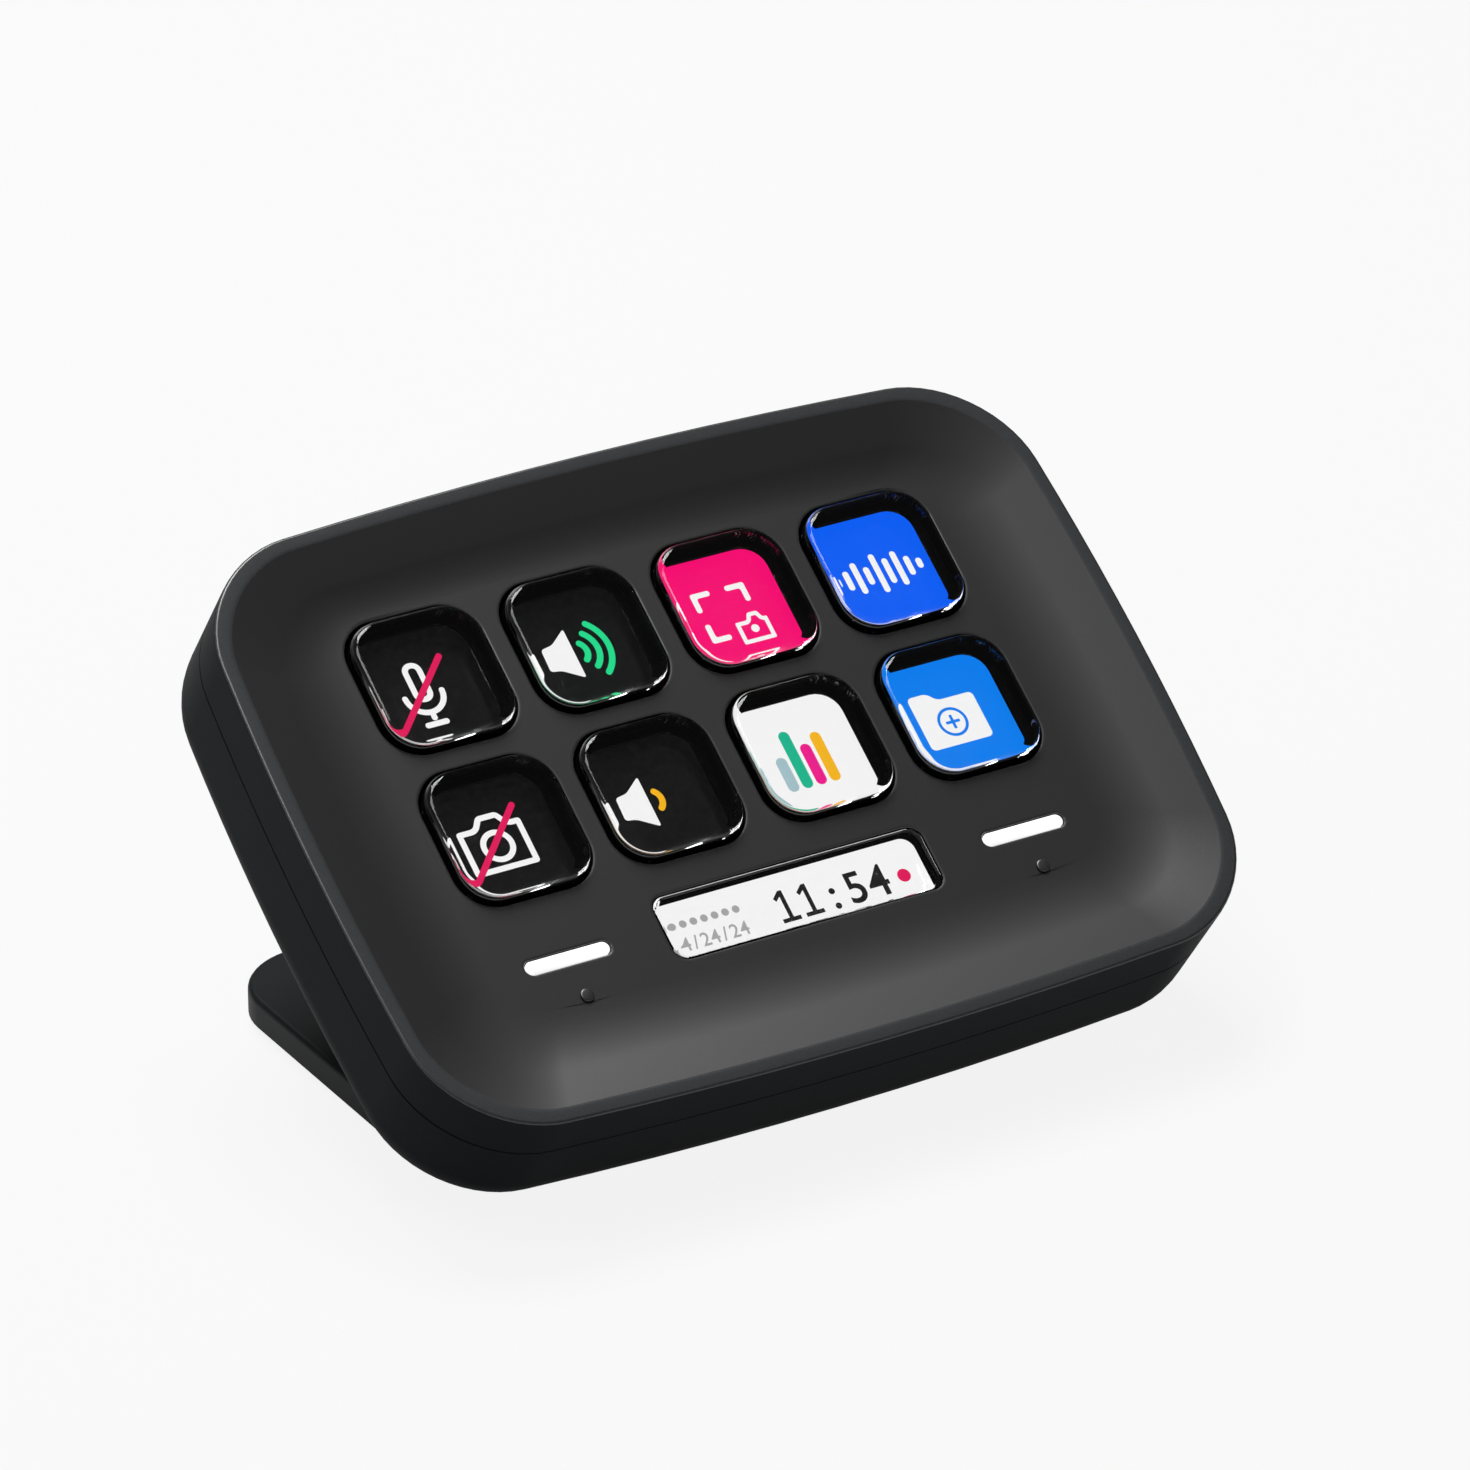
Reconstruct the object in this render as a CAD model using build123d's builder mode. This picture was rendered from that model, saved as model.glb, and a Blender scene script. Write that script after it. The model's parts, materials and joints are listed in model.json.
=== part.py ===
"""Macro keypad: a dished key face that leans back on a flat foot, with eight clear keys over a display.

Everything but the stand is drawn on the plane of the key face, which leans back from the vertical.
On that plane x is to the right, y is up the face and z comes out of it. Its origin is the middle of
the eight keys, on the flat floor of the dish. The part itself stands on z = 0, front towards -y.
"""

from build123d import *

import os
from math import copysign, cos, radians, sin

os.makedirs("parts", exist_ok=True)

# ------------------------------------------------------------------ driving dimensions, millimetres

# body
FACE_WIDTH, FACE_HEIGHT = 107.0, 78.0  # outer edge of the rim to outer edge
SIDE_BOW, END_BOW = 1.8, 2.0  # how far the middle of a side stands out past its corners
CORNER_RADIUS = 15.0
FACE_MID = -7.8  # middle of the face, below the middle of the keys
LEAN = 54.6  # the key face from the vertical, degrees
BODY_DEPTH = 20.0  # rim to back
FRONT_DEPTH = 6.6  # rim to parting line
BACK_ROUND = 6.0
WALL = 2.0
LIP, LIP_DEPTH = 1.0, 1.6  # the inner half of the front wall enters the rear shell
RIM_EDGE = 0.35  # small round on the rim's outer edge
PARTING_CHAMFER = 0.15
DESK_GAP = 0.8  # the body clears the desk, which only the pad touches

# dish
RIM_HEIGHT = 2.2  # above the flat floor of the dish
RIM_BAND = 1.6
SLOPE_END = 6.5  # inset from the rim's edge where the straight slope ends
FLOOR_START, FLOOR_START_HIGH = 14.0, 11.5  # insets where the flat floor starts, and at the top
FLOOR_CORNER = 6.0
BLEND_SECTIONS = 4
PLATE = 1.8  # thickness of the key plate

# keys
COLUMNS, ROWS = 4, 2
PITCH_X, PITCH_Y = 19.45, 19.76
KEY_WIDTH, KEY_HEIGHT, KEY_CORNER = 16.1, 16.4, 4.2
KEY_GAP = 0.45  # key to opening, all round
OPENING_EDGE = 0.2
KEY_RISE = 1.4  # top of the cap above the plate
KEY_EDGE = 1.0  # round on the top edge of the cap
CAP_BOTTOM = -2.8
SKIRT_TOP, SKIRT_WALL = -0.25, 0.35
FLANGE_TOP, FLANGE_THICK, FLANGE_OUT = -1.85, 0.7, 0.95
TRAVEL = 0.8  # how far a key goes down; the joints have it as their range

# window and touch lights
WINDOW_WIDTH, WINDOW_HEIGHT, WINDOW_CORNER = 34.4, 7.9, 1.6
WINDOW_Y, WINDOW_BOTTOM = -26.35, -4.3
TOUCH_X, TOUCH_Y = 29.3, -26.4
TOUCH_LENGTH, TOUCH_WIDTH = 10.4, 1.6
TOUCH_TOP, TOUCH_BOTTOM = -0.15, -3.3
PIP_Y, PIP_RADIUS, PIP_RISE, PIP_EDGE = -31.3, 0.8, 0.3, 0.2
FIT = 0.1  # gap round the window and the touch lights
GLUE_EDGE, GLUE_THICK = 0.8, 0.8  # flange that holds them against the back of the plate
LEDS, LED_PITCH, LED_LENGTH, LED_WIDTH, LED_THICK = 3, 3.2, 1.6, 0.8, 0.35

# layers behind the plate, as heights on the key face
MEMBRANE_GAP, MEMBRANE_THICK, MEMBRANE_EDGE = 0.05, 0.35, 1.6  # the gap is below a key pressed home
CONTACT_TOP, CONTACT_THICK = -3.75, 0.55
DISPLAY_TOP, DISPLAY_THICK, DISPLAY_WIDTH = -4.4, 1.2, 78.0
DISPLAY_LOW, DISPLAY_HIGH = -33.0, 20.0
KEY_WINDOW = 15.8  # opening of the membrane and the contact board under each key
KEY_WINDOW_CORNER = 3.6
TRAY_BOTTOM, TRAY_TOP, TRAY_WALL = -7.7, -4.6, 0.8
FRAME_TOP, FRAME_THICK = -7.8, 1.4
FRAME_WIDTH, FRAME_LOW, FRAME_HIGH = 80.0, -34.4, 22.0
FRAME_RIB, FRAME_OPENING_WIDTH, FRAME_OPENING_HEIGHT = 4.0, 26.0, 30.0
BOARD_TOP, BOARD_THICK = -10.0, 1.0
BOARD_WIDTH, BOARD_HEIGHT, BOARD_Y = 80.0, 50.0, -4.0
BOARD_CORNER = 3.0

# screws, as x and two y values on the key face
SHELL_SCREW_X, SHELL_SCREW_LOW, SHELL_SCREW_HIGH = 43.0, -33.8, 18.0
FRAME_SCREW_X, FRAME_SCREW_LOW, FRAME_SCREW_HIGH = 46.0, -20.0, 5.0
BOARD_SCREW_X, BOARD_SCREW_LOW, BOARD_SCREW_HIGH = 36.0, -25.0, 17.0
STAND_SCREW_X, STAND_SCREW_LOW, STAND_SCREW_HIGH = 20.0, -31.0, -10.0  # driven from inside the shell
BOSS_RADIUS, BOARD_POST_RADIUS = 2.7, 2.6
SCREW_RADIUS, HEAD_RADIUS, HEAD_THICK = 1.0, 1.9, 1.2
THREAD_GAP, SHANK_GAP, HEAD_GAP = 0.02, 0.2, 0.3
HEX_RECESS, HEX_DEPTH = 0.75, 0.7
SHELL_HEAD_DEPTH, SHELL_SCREW_LENGTH = 5.0, 8.0
SHELL_BOSS_MEET = -10.6  # the front and rear bosses meet here
FRAME_SCREW_LENGTH, BOARD_SCREW_LENGTH, STAND_SCREW_LENGTH = 6.0, 3.0, 4.2
THREAD_DEPTH_LEFT = 0.3  # thread hole past the end of its screw

# electronics
SOCKET_Y, SOCKET_WIDTH, SOCKET_HEIGHT, SOCKET_WALL = 14.0, 8.94, 3.26, 0.3
SOCKET_MOUTH_DEPTH, TONGUE_WIDTH, TONGUE_THICK, TONGUE_SHORT = 4.8, 6.7, 0.7, 0.6
POCKET_WIDTH, POCKET_HEIGHT, POCKET_DEPTH = 13.2, 7.4, 0.8
SOCKET_GAP = 0.2
CHIP_EDGE = 0.15
PROCESSOR_SIZE, PROCESSOR_THICK, PROCESSOR_AT = 9.0, 0.9, (-15.0, 2.0)
MEMORY_WIDTH, MEMORY_HEIGHT, MEMORY_THICK, MEMORY_AT = 6.0, 5.0, 0.8, (-2.0, 1.0)
REGULATOR_WIDTH, REGULATOR_HEIGHT, REGULATOR_THICK, REGULATOR_AT = 6.5, 3.5, 1.6, (14.0, 12.0)
CONNECTOR_WIDTH, CONNECTOR_HEIGHT, CONNECTOR_THICK, CONNECTOR_Y = 16.0, 3.6, 1.6, -22.0
FLEX_WIDTH, FLEX_THICK, FLEX_GAP = 13.0, 0.2, 0.5
FLEX_TURN, FLEX_BEND, FLEX_Z = -36.4, 1.5, -5.0

# stand
FOOT_WIDTH, FOOT_THICK = 90.0, 3.4
FOOT_CORNER, FOOT_FRONT_CORNER = 9.5, 14.0
FOOT_BACK = 30.6  # behind the middle of the keys
FOOT_EDGE = 0.7
LEG_WIDTH, LEG_LENGTH, LEG_THICK, LEG_CORNER = 56.0, 39.0, 3.0, 7.0
LEG_EDGE = 0.5
LEG_START = 0.5  # above the end of the back's round edge
BEND_RADIUS = 2.5
PAD_INSET, PAD_FRONT, PAD_CORNER, PAD_THICK, PAD_EDGE = 3.0, 5.0, 7.0, 1.2, 0.3

# ------------------------------------------------------------------ where the key face stands

lean_sin, lean_cos = sin(radians(LEAN)), cos(radians(LEAN))
BACK = RIM_HEIGHT - BODY_DEPTH
INNER_BACK = BACK + WALL
PARTING = RIM_HEIGHT - FRONT_DEPTH
BOARD_BOTTOM = BOARD_TOP - BOARD_THICK
FRAME_BOTTOM = FRAME_TOP - FRAME_THICK
face_low, face_high = FACE_MID - FACE_HEIGHT / 2, FACE_MID + FACE_HEIGHT / 2


def side_point(y, z):
    """Where a point of the key face's middle section is, seen from the side: (back, up)."""
    return y * lean_sin - z * lean_cos, y * lean_cos + z * lean_sin


# the lowest point of the body is on the round of its lower back edge
round_low = side_point(face_low + BACK_ROUND, BACK + BACK_ROUND)[1] - BACK_ROUND
reach_front = side_point(face_low, RIM_HEIGHT)[0]
reach_back = side_point(face_high - BACK_ROUND, BACK + BACK_ROUND)[0] + BACK_ROUND
keys_y = -(reach_front + reach_back) / 2
keys_z = DESK_GAP - round_low

key_face = Plane(origin=(0, keys_y, keys_z), x_dir=(1, 0, 0), z_dir=(0, -lean_cos, lean_sin))
out_of_face = Axis(key_face.origin, key_face.z_dir)
from_side = Plane(origin=(0, keys_y, keys_z), x_dir=(0, 1, 0), z_dir=(1, 0, 0))

key_places = [
    (PITCH_X * (column - (COLUMNS - 1) / 2), PITCH_Y * ((ROWS - 1) / 2 - row))
    for row in range(ROWS)
    for column in range(COLUMNS)
]
touch_places = [(-TOUCH_X, TOUCH_Y), (TOUCH_X, TOUCH_Y)]


def four_places(x, low, high):
    """The places of four screws on a rectangle."""
    return [(-x, low), (x, low), (-x, high), (x, high)]


shell_screw_places = four_places(SHELL_SCREW_X, SHELL_SCREW_LOW, SHELL_SCREW_HIGH)
frame_screw_places = four_places(FRAME_SCREW_X, FRAME_SCREW_LOW, FRAME_SCREW_HIGH)
board_screw_places = four_places(BOARD_SCREW_X, BOARD_SCREW_LOW, BOARD_SCREW_HIGH)
stand_screw_places = four_places(STAND_SCREW_X, STAND_SCREW_LOW, STAND_SCREW_HIGH)


def outline(height, inset=0.0, high_inset=None, corner=None, bow=1.0):
    """The body's outline at a height on the key face, with bowed sides and round corners."""
    high_inset = inset if high_inset is None else high_inset
    corner = CORNER_RADIUS - inset if corner is None else corner
    side, low, high = FACE_WIDTH / 2 - inset, face_low + inset, face_high - high_inset
    corner_x, corner_low, corner_high = side - SIDE_BOW * bow, low + END_BOW * bow, high - END_BOW * bow
    middle = (low + high) / 2
    with BuildSketch(key_face.offset(height)) as sketch:
        with BuildLine():
            ThreePointArc((-corner_x, corner_low), (0, low), (corner_x, corner_low))
            ThreePointArc((corner_x, corner_low), (side, middle), (corner_x, corner_high))
            ThreePointArc((corner_x, corner_high), (0, high), (-corner_x, corner_high))
            ThreePointArc((-corner_x, corner_high), (-side, middle), (-corner_x, corner_low))
        make_face()
        fillet(sketch.vertices(), corner)
    return sketch.sketch


def dish_level(inset):
    """The dish's outline at an inset from the rim: straight slope, round blend, flat floor."""
    blend = FLOOR_START - SLOPE_END
    slope = RIM_HEIGHT / (blend / 2 + SLOPE_END - RIM_BAND)
    into_blend = max(inset - SLOPE_END, 0) / blend
    if into_blend:
        height = slope * blend * (1 - into_blend) ** 2 / 2
    else:
        height = slope * (blend / 2 + SLOPE_END - inset)
    high_inset = inset - into_blend * (FLOOR_START - FLOOR_START_HIGH)
    into_dish = inset / FLOOR_START
    corner = CORNER_RADIUS + (FLOOR_CORNER - CORNER_RADIUS) * into_dish
    return outline(height, inset, high_inset, corner, bow=1 - into_dish / 2)


def outline_block(top, bottom, inset=0.0, mode=Mode.ADD):
    """A block of the body's outline between two heights on the key face."""
    extrude(outline(bottom, inset), amount=top - bottom, mode=mode)


def round_block(places, width, height, corner, top, bottom, mode=Mode.ADD):
    """Blocks with round corners at places on the key face, between two heights."""
    with BuildSketch(key_face.offset(bottom)) as profile:
        with Locations(*places):
            RectangleRounded(width, height, corner)
    extrude(profile.sketch, amount=top - bottom, mode=mode)


def slot_block(places, length, width, top, bottom, mode=Mode.ADD):
    """Blocks with round ends at places on the key face, between two heights."""
    with BuildSketch(key_face.offset(bottom)) as profile:
        with Locations(*places):
            SlotOverall(length, width)
    extrude(profile.sketch, amount=top - bottom, mode=mode)


def posts(places, radius, top, bottom, mode=Mode.ADD):
    """Round posts, or holes, at places on the key face, between two heights."""
    with BuildSketch(key_face.offset(bottom)) as profile:
        with Locations(*places):
            Circle(radius)
    extrude(profile.sketch, amount=top - bottom, mode=mode)


def level_faces(piece, from_top):
    """The faces of a piece that lie level with the key face, at a rank of height."""
    return piece.faces().filter_by(key_face).group_by(out_of_face)[-1 - from_top]


def write(piece, name):
    """Label a finished piece and write its STEP file."""
    piece.part.label = name
    export_step(piece.part, f"parts/{name}.step")


# ------------------------------------------------------------------ front shell

with BuildPart(key_face) as front_shell:
    outline_block(RIM_HEIGHT, PARTING)
    fillet(level_faces(front_shell, 0).edges(), RIM_EDGE)
    chamfer(level_faces(front_shell, -1).edges(), PARTING_CHAMFER)
    # the lip that enters the rear shell, and the hollow behind the plate
    outline_block(PARTING, PARTING - LIP_DEPTH, LIP + FIT)
    outline_block(-PLATE, PARTING - LIP_DEPTH, WALL, Mode.SUBTRACT)
    # the dish, scooped out in two lofts: the straight slope and the round blend to the floor
    loft([dish_level(inset) for inset in (RIM_BAND, SLOPE_END)], ruled=True, mode=Mode.SUBTRACT)
    blend_step = (FLOOR_START - SLOPE_END) / BLEND_SECTIONS
    blend_insets = [SLOPE_END + blend_step * section for section in range(BLEND_SECTIONS + 1)]
    loft([dish_level(inset) for inset in blend_insets], mode=Mode.SUBTRACT)
    # openings for the keys, the window and the touch lights
    opening = KEY_WIDTH + 2 * KEY_GAP, KEY_HEIGHT + 2 * KEY_GAP, KEY_CORNER + KEY_GAP
    round_block(key_places, *opening, 0, -PLATE, Mode.SUBTRACT)
    window_size = WINDOW_WIDTH + 2 * FIT, WINDOW_HEIGHT + 2 * FIT, WINDOW_CORNER + FIT
    round_block([(0, WINDOW_Y)], *window_size, 0, -PLATE, Mode.SUBTRACT)
    slot_block(touch_places, TOUCH_LENGTH + 2 * FIT, TOUCH_WIDTH + 2 * FIT, 0, -PLATE, Mode.SUBTRACT)
    floor_openings = level_faces(front_shell, 1)[0].inner_wires()
    fillet(floor_openings.edges(), OPENING_EDGE)
    # a pip below each touch light, for a finger to find
    posts([(x, PIP_Y) for x, _ in touch_places], PIP_RADIUS, PIP_RISE, 0)
    fillet(level_faces(front_shell, 1).edges(), PIP_EDGE)
    # bosses for the rear shell's screws and the inner frame's
    posts(shell_screw_places, BOSS_RADIUS, -PLATE, SHELL_BOSS_MEET)
    posts(frame_screw_places, BOSS_RADIUS, -PLATE, FRAME_TOP)
    thread_radius = SCREW_RADIUS + THREAD_GAP
    posts(shell_screw_places, thread_radius, -PLATE - 1, SHELL_BOSS_MEET, Mode.SUBTRACT)
    posts(frame_screw_places, thread_radius, -PLATE - 1, FRAME_TOP, Mode.SUBTRACT)
write(front_shell, "front_shell")

# ------------------------------------------------------------------ rear shell

with BuildPart() as rear_hollow:
    outline_block(PARTING, INNER_BACK, WALL)
    fillet(level_faces(rear_hollow, -1).edges(), BACK_ROUND - WALL)

with BuildPart() as rear_shell:
    outline_block(PARTING, BACK)
    fillet(level_faces(rear_shell, -1).edges(), BACK_ROUND)
    chamfer(level_faces(rear_shell, 0).edges(), PARTING_CHAMFER)
    add(rear_hollow.part, mode=Mode.SUBTRACT)
    outline_block(PARTING, PARTING - LIP_DEPTH - FIT, LIP, Mode.SUBTRACT)
    # bosses, with a deep head recess and a clearance hole for each shell screw
    shell_head_seat = BACK + SHELL_HEAD_DEPTH
    posts(shell_screw_places, BOSS_RADIUS, SHELL_BOSS_MEET, INNER_BACK)
    posts(shell_screw_places, HEAD_RADIUS + HEAD_GAP, shell_head_seat, BACK, Mode.SUBTRACT)
    posts(shell_screw_places, SCREW_RADIUS + SHANK_GAP, SHELL_BOSS_MEET, BACK, Mode.SUBTRACT)
    posts(stand_screw_places, SCREW_RADIUS + SHANK_GAP, INNER_BACK, BACK, Mode.SUBTRACT)
    # shallow pocket for the plug's grip, and the way through for the socket
    slot_block([(0, SOCKET_Y)], POCKET_WIDTH, POCKET_HEIGHT, BACK + POCKET_DEPTH, BACK, Mode.SUBTRACT)
    socket_way = SOCKET_WIDTH + 2 * SOCKET_GAP, SOCKET_HEIGHT + 2 * SOCKET_GAP
    slot_block([(0, SOCKET_Y)], *socket_way, INNER_BACK, BACK, Mode.SUBTRACT)
write(rear_shell, "rear_shell")

# ------------------------------------------------------------------ stand

foot_bottom = DESK_GAP - keys_z
foot_top = foot_bottom + FOOT_THICK
leg_low = face_low + BACK_ROUND + LEG_START
leg_high = leg_low + LEG_LENGTH
leg_back = BACK - LEG_THICK
nose_back, nose_up = side_point(leg_low, BACK)
# where the outside of the leg comes down to the top of the foot
leg_meets_foot = side_point((foot_top - leg_back * lean_sin) / lean_cos, leg_back)

pad_low, pad_high = nose_back + PAD_FRONT, FOOT_BACK - PAD_INSET
pad_place = (0, keys_y + (pad_low + pad_high) / 2)
pad_size = FOOT_WIDTH - 2 * PAD_INSET, pad_high - pad_low

with BuildPart() as stand:
    # the foot, cut off in front along the back of the body
    foot_middle = (nose_back + FOOT_BACK) / 2
    with BuildSketch(Plane.XY.offset(DESK_GAP)) as foot_plan:
        with Locations((0, keys_y + foot_middle)):
            Rectangle(FOOT_WIDTH, FOOT_BACK - nose_back)
        foot_corners = foot_plan.vertices().group_by(Axis.Y)
        fillet(foot_corners[0], FOOT_FRONT_CORNER)
        fillet(foot_corners[-1], FOOT_CORNER)
    extrude(amount=FOOT_THICK)
    fillet(stand.faces().sort_by(Axis.Z)[-1].edges(), FOOT_EDGE)
    split(bisect_by=key_face.offset(BACK), keep=Keep.BOTTOM)
    # the leg, which lies on the back of the body and bends into the foot
    with BuildSketch(from_side.offset(-LEG_WIDTH / 2)):
        with BuildLine():
            Polyline(
                (nose_back, foot_bottom),
                (nose_back, nose_up),
                side_point(leg_high, BACK),
                side_point(leg_high, leg_back),
                leg_meets_foot,
                (leg_meets_foot[0], foot_bottom),
                close=True,
            )
        make_face()
    extrude(amount=LEG_WIDTH)
    fillet(stand.edges().filter_by(out_of_face).sort_by(Axis.Z)[-2:], LEG_CORNER)
    # small rounds on the leg's outside, and then a larger one where it bends into the foot
    leg_outside = level_faces(stand, -1)[0]
    fillet(leg_outside.edges().sort_by(Axis.Z)[1:], LEG_EDGE)
    leg_outside = level_faces(stand, -1)[0]
    fillet(leg_outside.edges().sort_by(Axis.Z)[0], BEND_RADIUS)
    thread_end = INNER_BACK - STAND_SCREW_LENGTH - THREAD_DEPTH_LEFT
    posts(stand_screw_places, thread_radius, BACK, thread_end, Mode.SUBTRACT)
    # the recess for the pad
    with BuildSketch(Plane.XY.offset(DESK_GAP)):
        with Locations(pad_place):
            RectangleRounded(*pad_size, PAD_CORNER)
    extrude(amount=PAD_THICK - DESK_GAP, mode=Mode.SUBTRACT)
write(stand, "stand")

with BuildPart() as foot_pad:
    with BuildSketch():
        with Locations(pad_place):
            RectangleRounded(*pad_size, PAD_CORNER)
    extrude(amount=PAD_THICK)
    fillet(foot_pad.faces().sort_by(Axis.Z)[0].edges(), PAD_EDGE)
write(foot_pad, "foot_pad")

# ------------------------------------------------------------------ keys

key_size = KEY_WIDTH, KEY_HEIGHT, KEY_CORNER
in_skirt = KEY_WIDTH - 2 * SKIRT_WALL, KEY_HEIGHT - 2 * SKIRT_WALL, KEY_CORNER - SKIRT_WALL
flange_size = KEY_WIDTH + 2 * FLANGE_OUT, KEY_HEIGHT + 2 * FLANGE_OUT, KEY_CORNER + FLANGE_OUT
skirt_bottom = FLANGE_TOP - FLANGE_THICK

for number, place in enumerate(key_places, start=1):
    with BuildPart() as key_cap:
        round_block([place], *in_skirt, SKIRT_TOP, CAP_BOTTOM)
        round_block([place], *key_size, KEY_RISE, SKIRT_TOP)
        fillet(level_faces(key_cap, 0).edges(), KEY_EDGE)
    write(key_cap, f"key_cap_{number}")

    with BuildPart() as key_frame:
        round_block([place], *key_size, SKIRT_TOP, skirt_bottom)
        round_block([place], *flange_size, FLANGE_TOP, skirt_bottom)
        round_block([place], *in_skirt, SKIRT_TOP, skirt_bottom, Mode.SUBTRACT)
    write(key_frame, f"key_frame_{number}")

# ------------------------------------------------------------------ window and touch lights

with BuildPart() as window_lens:
    round_block([(0, WINDOW_Y)], WINDOW_WIDTH, WINDOW_HEIGHT, WINDOW_CORNER, 0, WINDOW_BOTTOM)
    chamfer(level_faces(window_lens, 0).edges(), OPENING_EDGE)
    lens_flange = WINDOW_WIDTH + 2 * GLUE_EDGE, WINDOW_HEIGHT + 2 * GLUE_EDGE, WINDOW_CORNER + GLUE_EDGE
    round_block([(0, WINDOW_Y)], *lens_flange, -PLATE, -PLATE - GLUE_THICK)
write(window_lens, "window_lens")

for side, place in zip(("left", "right"), touch_places):
    with BuildPart() as touch_light:
        slot_block([place], TOUCH_LENGTH, TOUCH_WIDTH, TOUCH_TOP, TOUCH_BOTTOM)
        light_flange = TOUCH_LENGTH + 2 * GLUE_EDGE, TOUCH_WIDTH + 2 * GLUE_EDGE
        slot_block([place], *light_flange, -PLATE, -PLATE - GLUE_THICK)
    write(touch_light, f"touch_light_{side}")

# ------------------------------------------------------------------ layers under the keys

key_window = KEY_WINDOW, KEY_WINDOW + KEY_HEIGHT - KEY_WIDTH, KEY_WINDOW_CORNER
display_place = [(0, (DISPLAY_LOW + DISPLAY_HIGH) / 2)]
display_height = DISPLAY_HIGH - DISPLAY_LOW
display_bottom = DISPLAY_TOP - DISPLAY_THICK
tray_size = DISPLAY_WIDTH + 2 * TRAY_WALL, display_height + 2 * TRAY_WALL

with BuildPart() as key_membrane:
    web_top = skirt_bottom - TRAVEL - MEMBRANE_GAP
    web_bottom = web_top - MEMBRANE_THICK
    web_width = (COLUMNS - 1) * PITCH_X + key_window[0] + 2 * MEMBRANE_EDGE
    web_height = (ROWS - 1) * PITCH_Y + key_window[1] + 2 * MEMBRANE_EDGE
    round_block([(0, 0)], web_width, web_height, KEY_WINDOW_CORNER, web_top, web_bottom)
    round_block(key_places, *key_window, web_top, web_bottom, Mode.SUBTRACT)
write(key_membrane, "key_membrane")

with BuildPart() as contact_board:
    contact_bottom = CONTACT_TOP - CONTACT_THICK
    round_block(display_place, *tray_size, TRAY_WALL, CONTACT_TOP, contact_bottom)
    round_block(key_places, *key_window, CONTACT_TOP, contact_bottom, Mode.SUBTRACT)
    round_block([(0, WINDOW_Y)], *window_size, CONTACT_TOP, contact_bottom, Mode.SUBTRACT)
write(contact_board, "contact_board")

with BuildPart() as touch_leds:
    with BuildSketch(key_face.offset(CONTACT_TOP)):
        for x, y in touch_places:
            with Locations((x, y)), GridLocations(LED_PITCH, 0, LEDS, 1):
                Rectangle(LED_LENGTH, LED_WIDTH)
    extrude(amount=LED_THICK)
write(touch_leds, "touch_leds")

with BuildPart() as display_panel:
    with BuildSketch(key_face.offset(display_bottom)):
        with Locations(*display_place):
            Rectangle(DISPLAY_WIDTH, display_height)
    extrude(amount=DISPLAY_THICK)
write(display_panel, "display_panel")

with BuildPart() as backlight_tray:
    round_block(display_place, *tray_size, TRAY_WALL, TRAY_TOP, TRAY_BOTTOM)
    with BuildSketch(key_face.offset(display_bottom)):
        with Locations(*display_place):
            Rectangle(DISPLAY_WIDTH + FIT, display_height + FIT)
        # the way out for the flex, through the lower wall
        with Locations((0, DISPLAY_LOW)):
            Rectangle(FLEX_WIDTH + 2 * FLEX_GAP, 4 * TRAY_WALL)
    extrude(amount=DISPLAY_THICK, mode=Mode.SUBTRACT)
write(backlight_tray, "backlight_tray")

# ------------------------------------------------------------------ inner frame

with BuildPart() as inner_frame:
    frame_middle = (FRAME_LOW + FRAME_HIGH) / 2
    with BuildSketch(key_face.offset(FRAME_BOTTOM)):
        with Locations((0, frame_middle)):
            RectangleRounded(FRAME_WIDTH, FRAME_HIGH - FRAME_LOW, BOARD_CORNER)
        # two arms across the frame, which end in the ears for its screws
        with Locations((0, FRAME_SCREW_LOW), (0, FRAME_SCREW_HIGH)):
            SlotOverall(2 * (FRAME_SCREW_X + BOSS_RADIUS), 2 * BOSS_RADIUS)
        with Locations((0, frame_middle)), GridLocations(FRAME_OPENING_WIDTH + FRAME_RIB, 0, 2, 1):
            RectangleRounded(FRAME_OPENING_WIDTH, FRAME_OPENING_HEIGHT, BOARD_CORNER, mode=Mode.SUBTRACT)
    extrude(amount=FRAME_THICK)
    posts(frame_screw_places, SCREW_RADIUS + SHANK_GAP, FRAME_TOP, FRAME_BOTTOM, Mode.SUBTRACT)
    posts(board_screw_places, BOARD_POST_RADIUS, FRAME_BOTTOM, BOARD_TOP)
    posts(board_screw_places, thread_radius, FRAME_TOP, BOARD_TOP, Mode.SUBTRACT)
write(inner_frame, "inner_frame")

# ------------------------------------------------------------------ main board and what it carries

with BuildPart() as main_board:
    round_block([(0, BOARD_Y)], BOARD_WIDTH, BOARD_HEIGHT, BOARD_CORNER, BOARD_TOP, BOARD_BOTTOM)
    posts(board_screw_places, SCREW_RADIUS + SHANK_GAP, BOARD_TOP, BOARD_BOTTOM, Mode.SUBTRACT)
write(main_board, "main_board")

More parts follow.
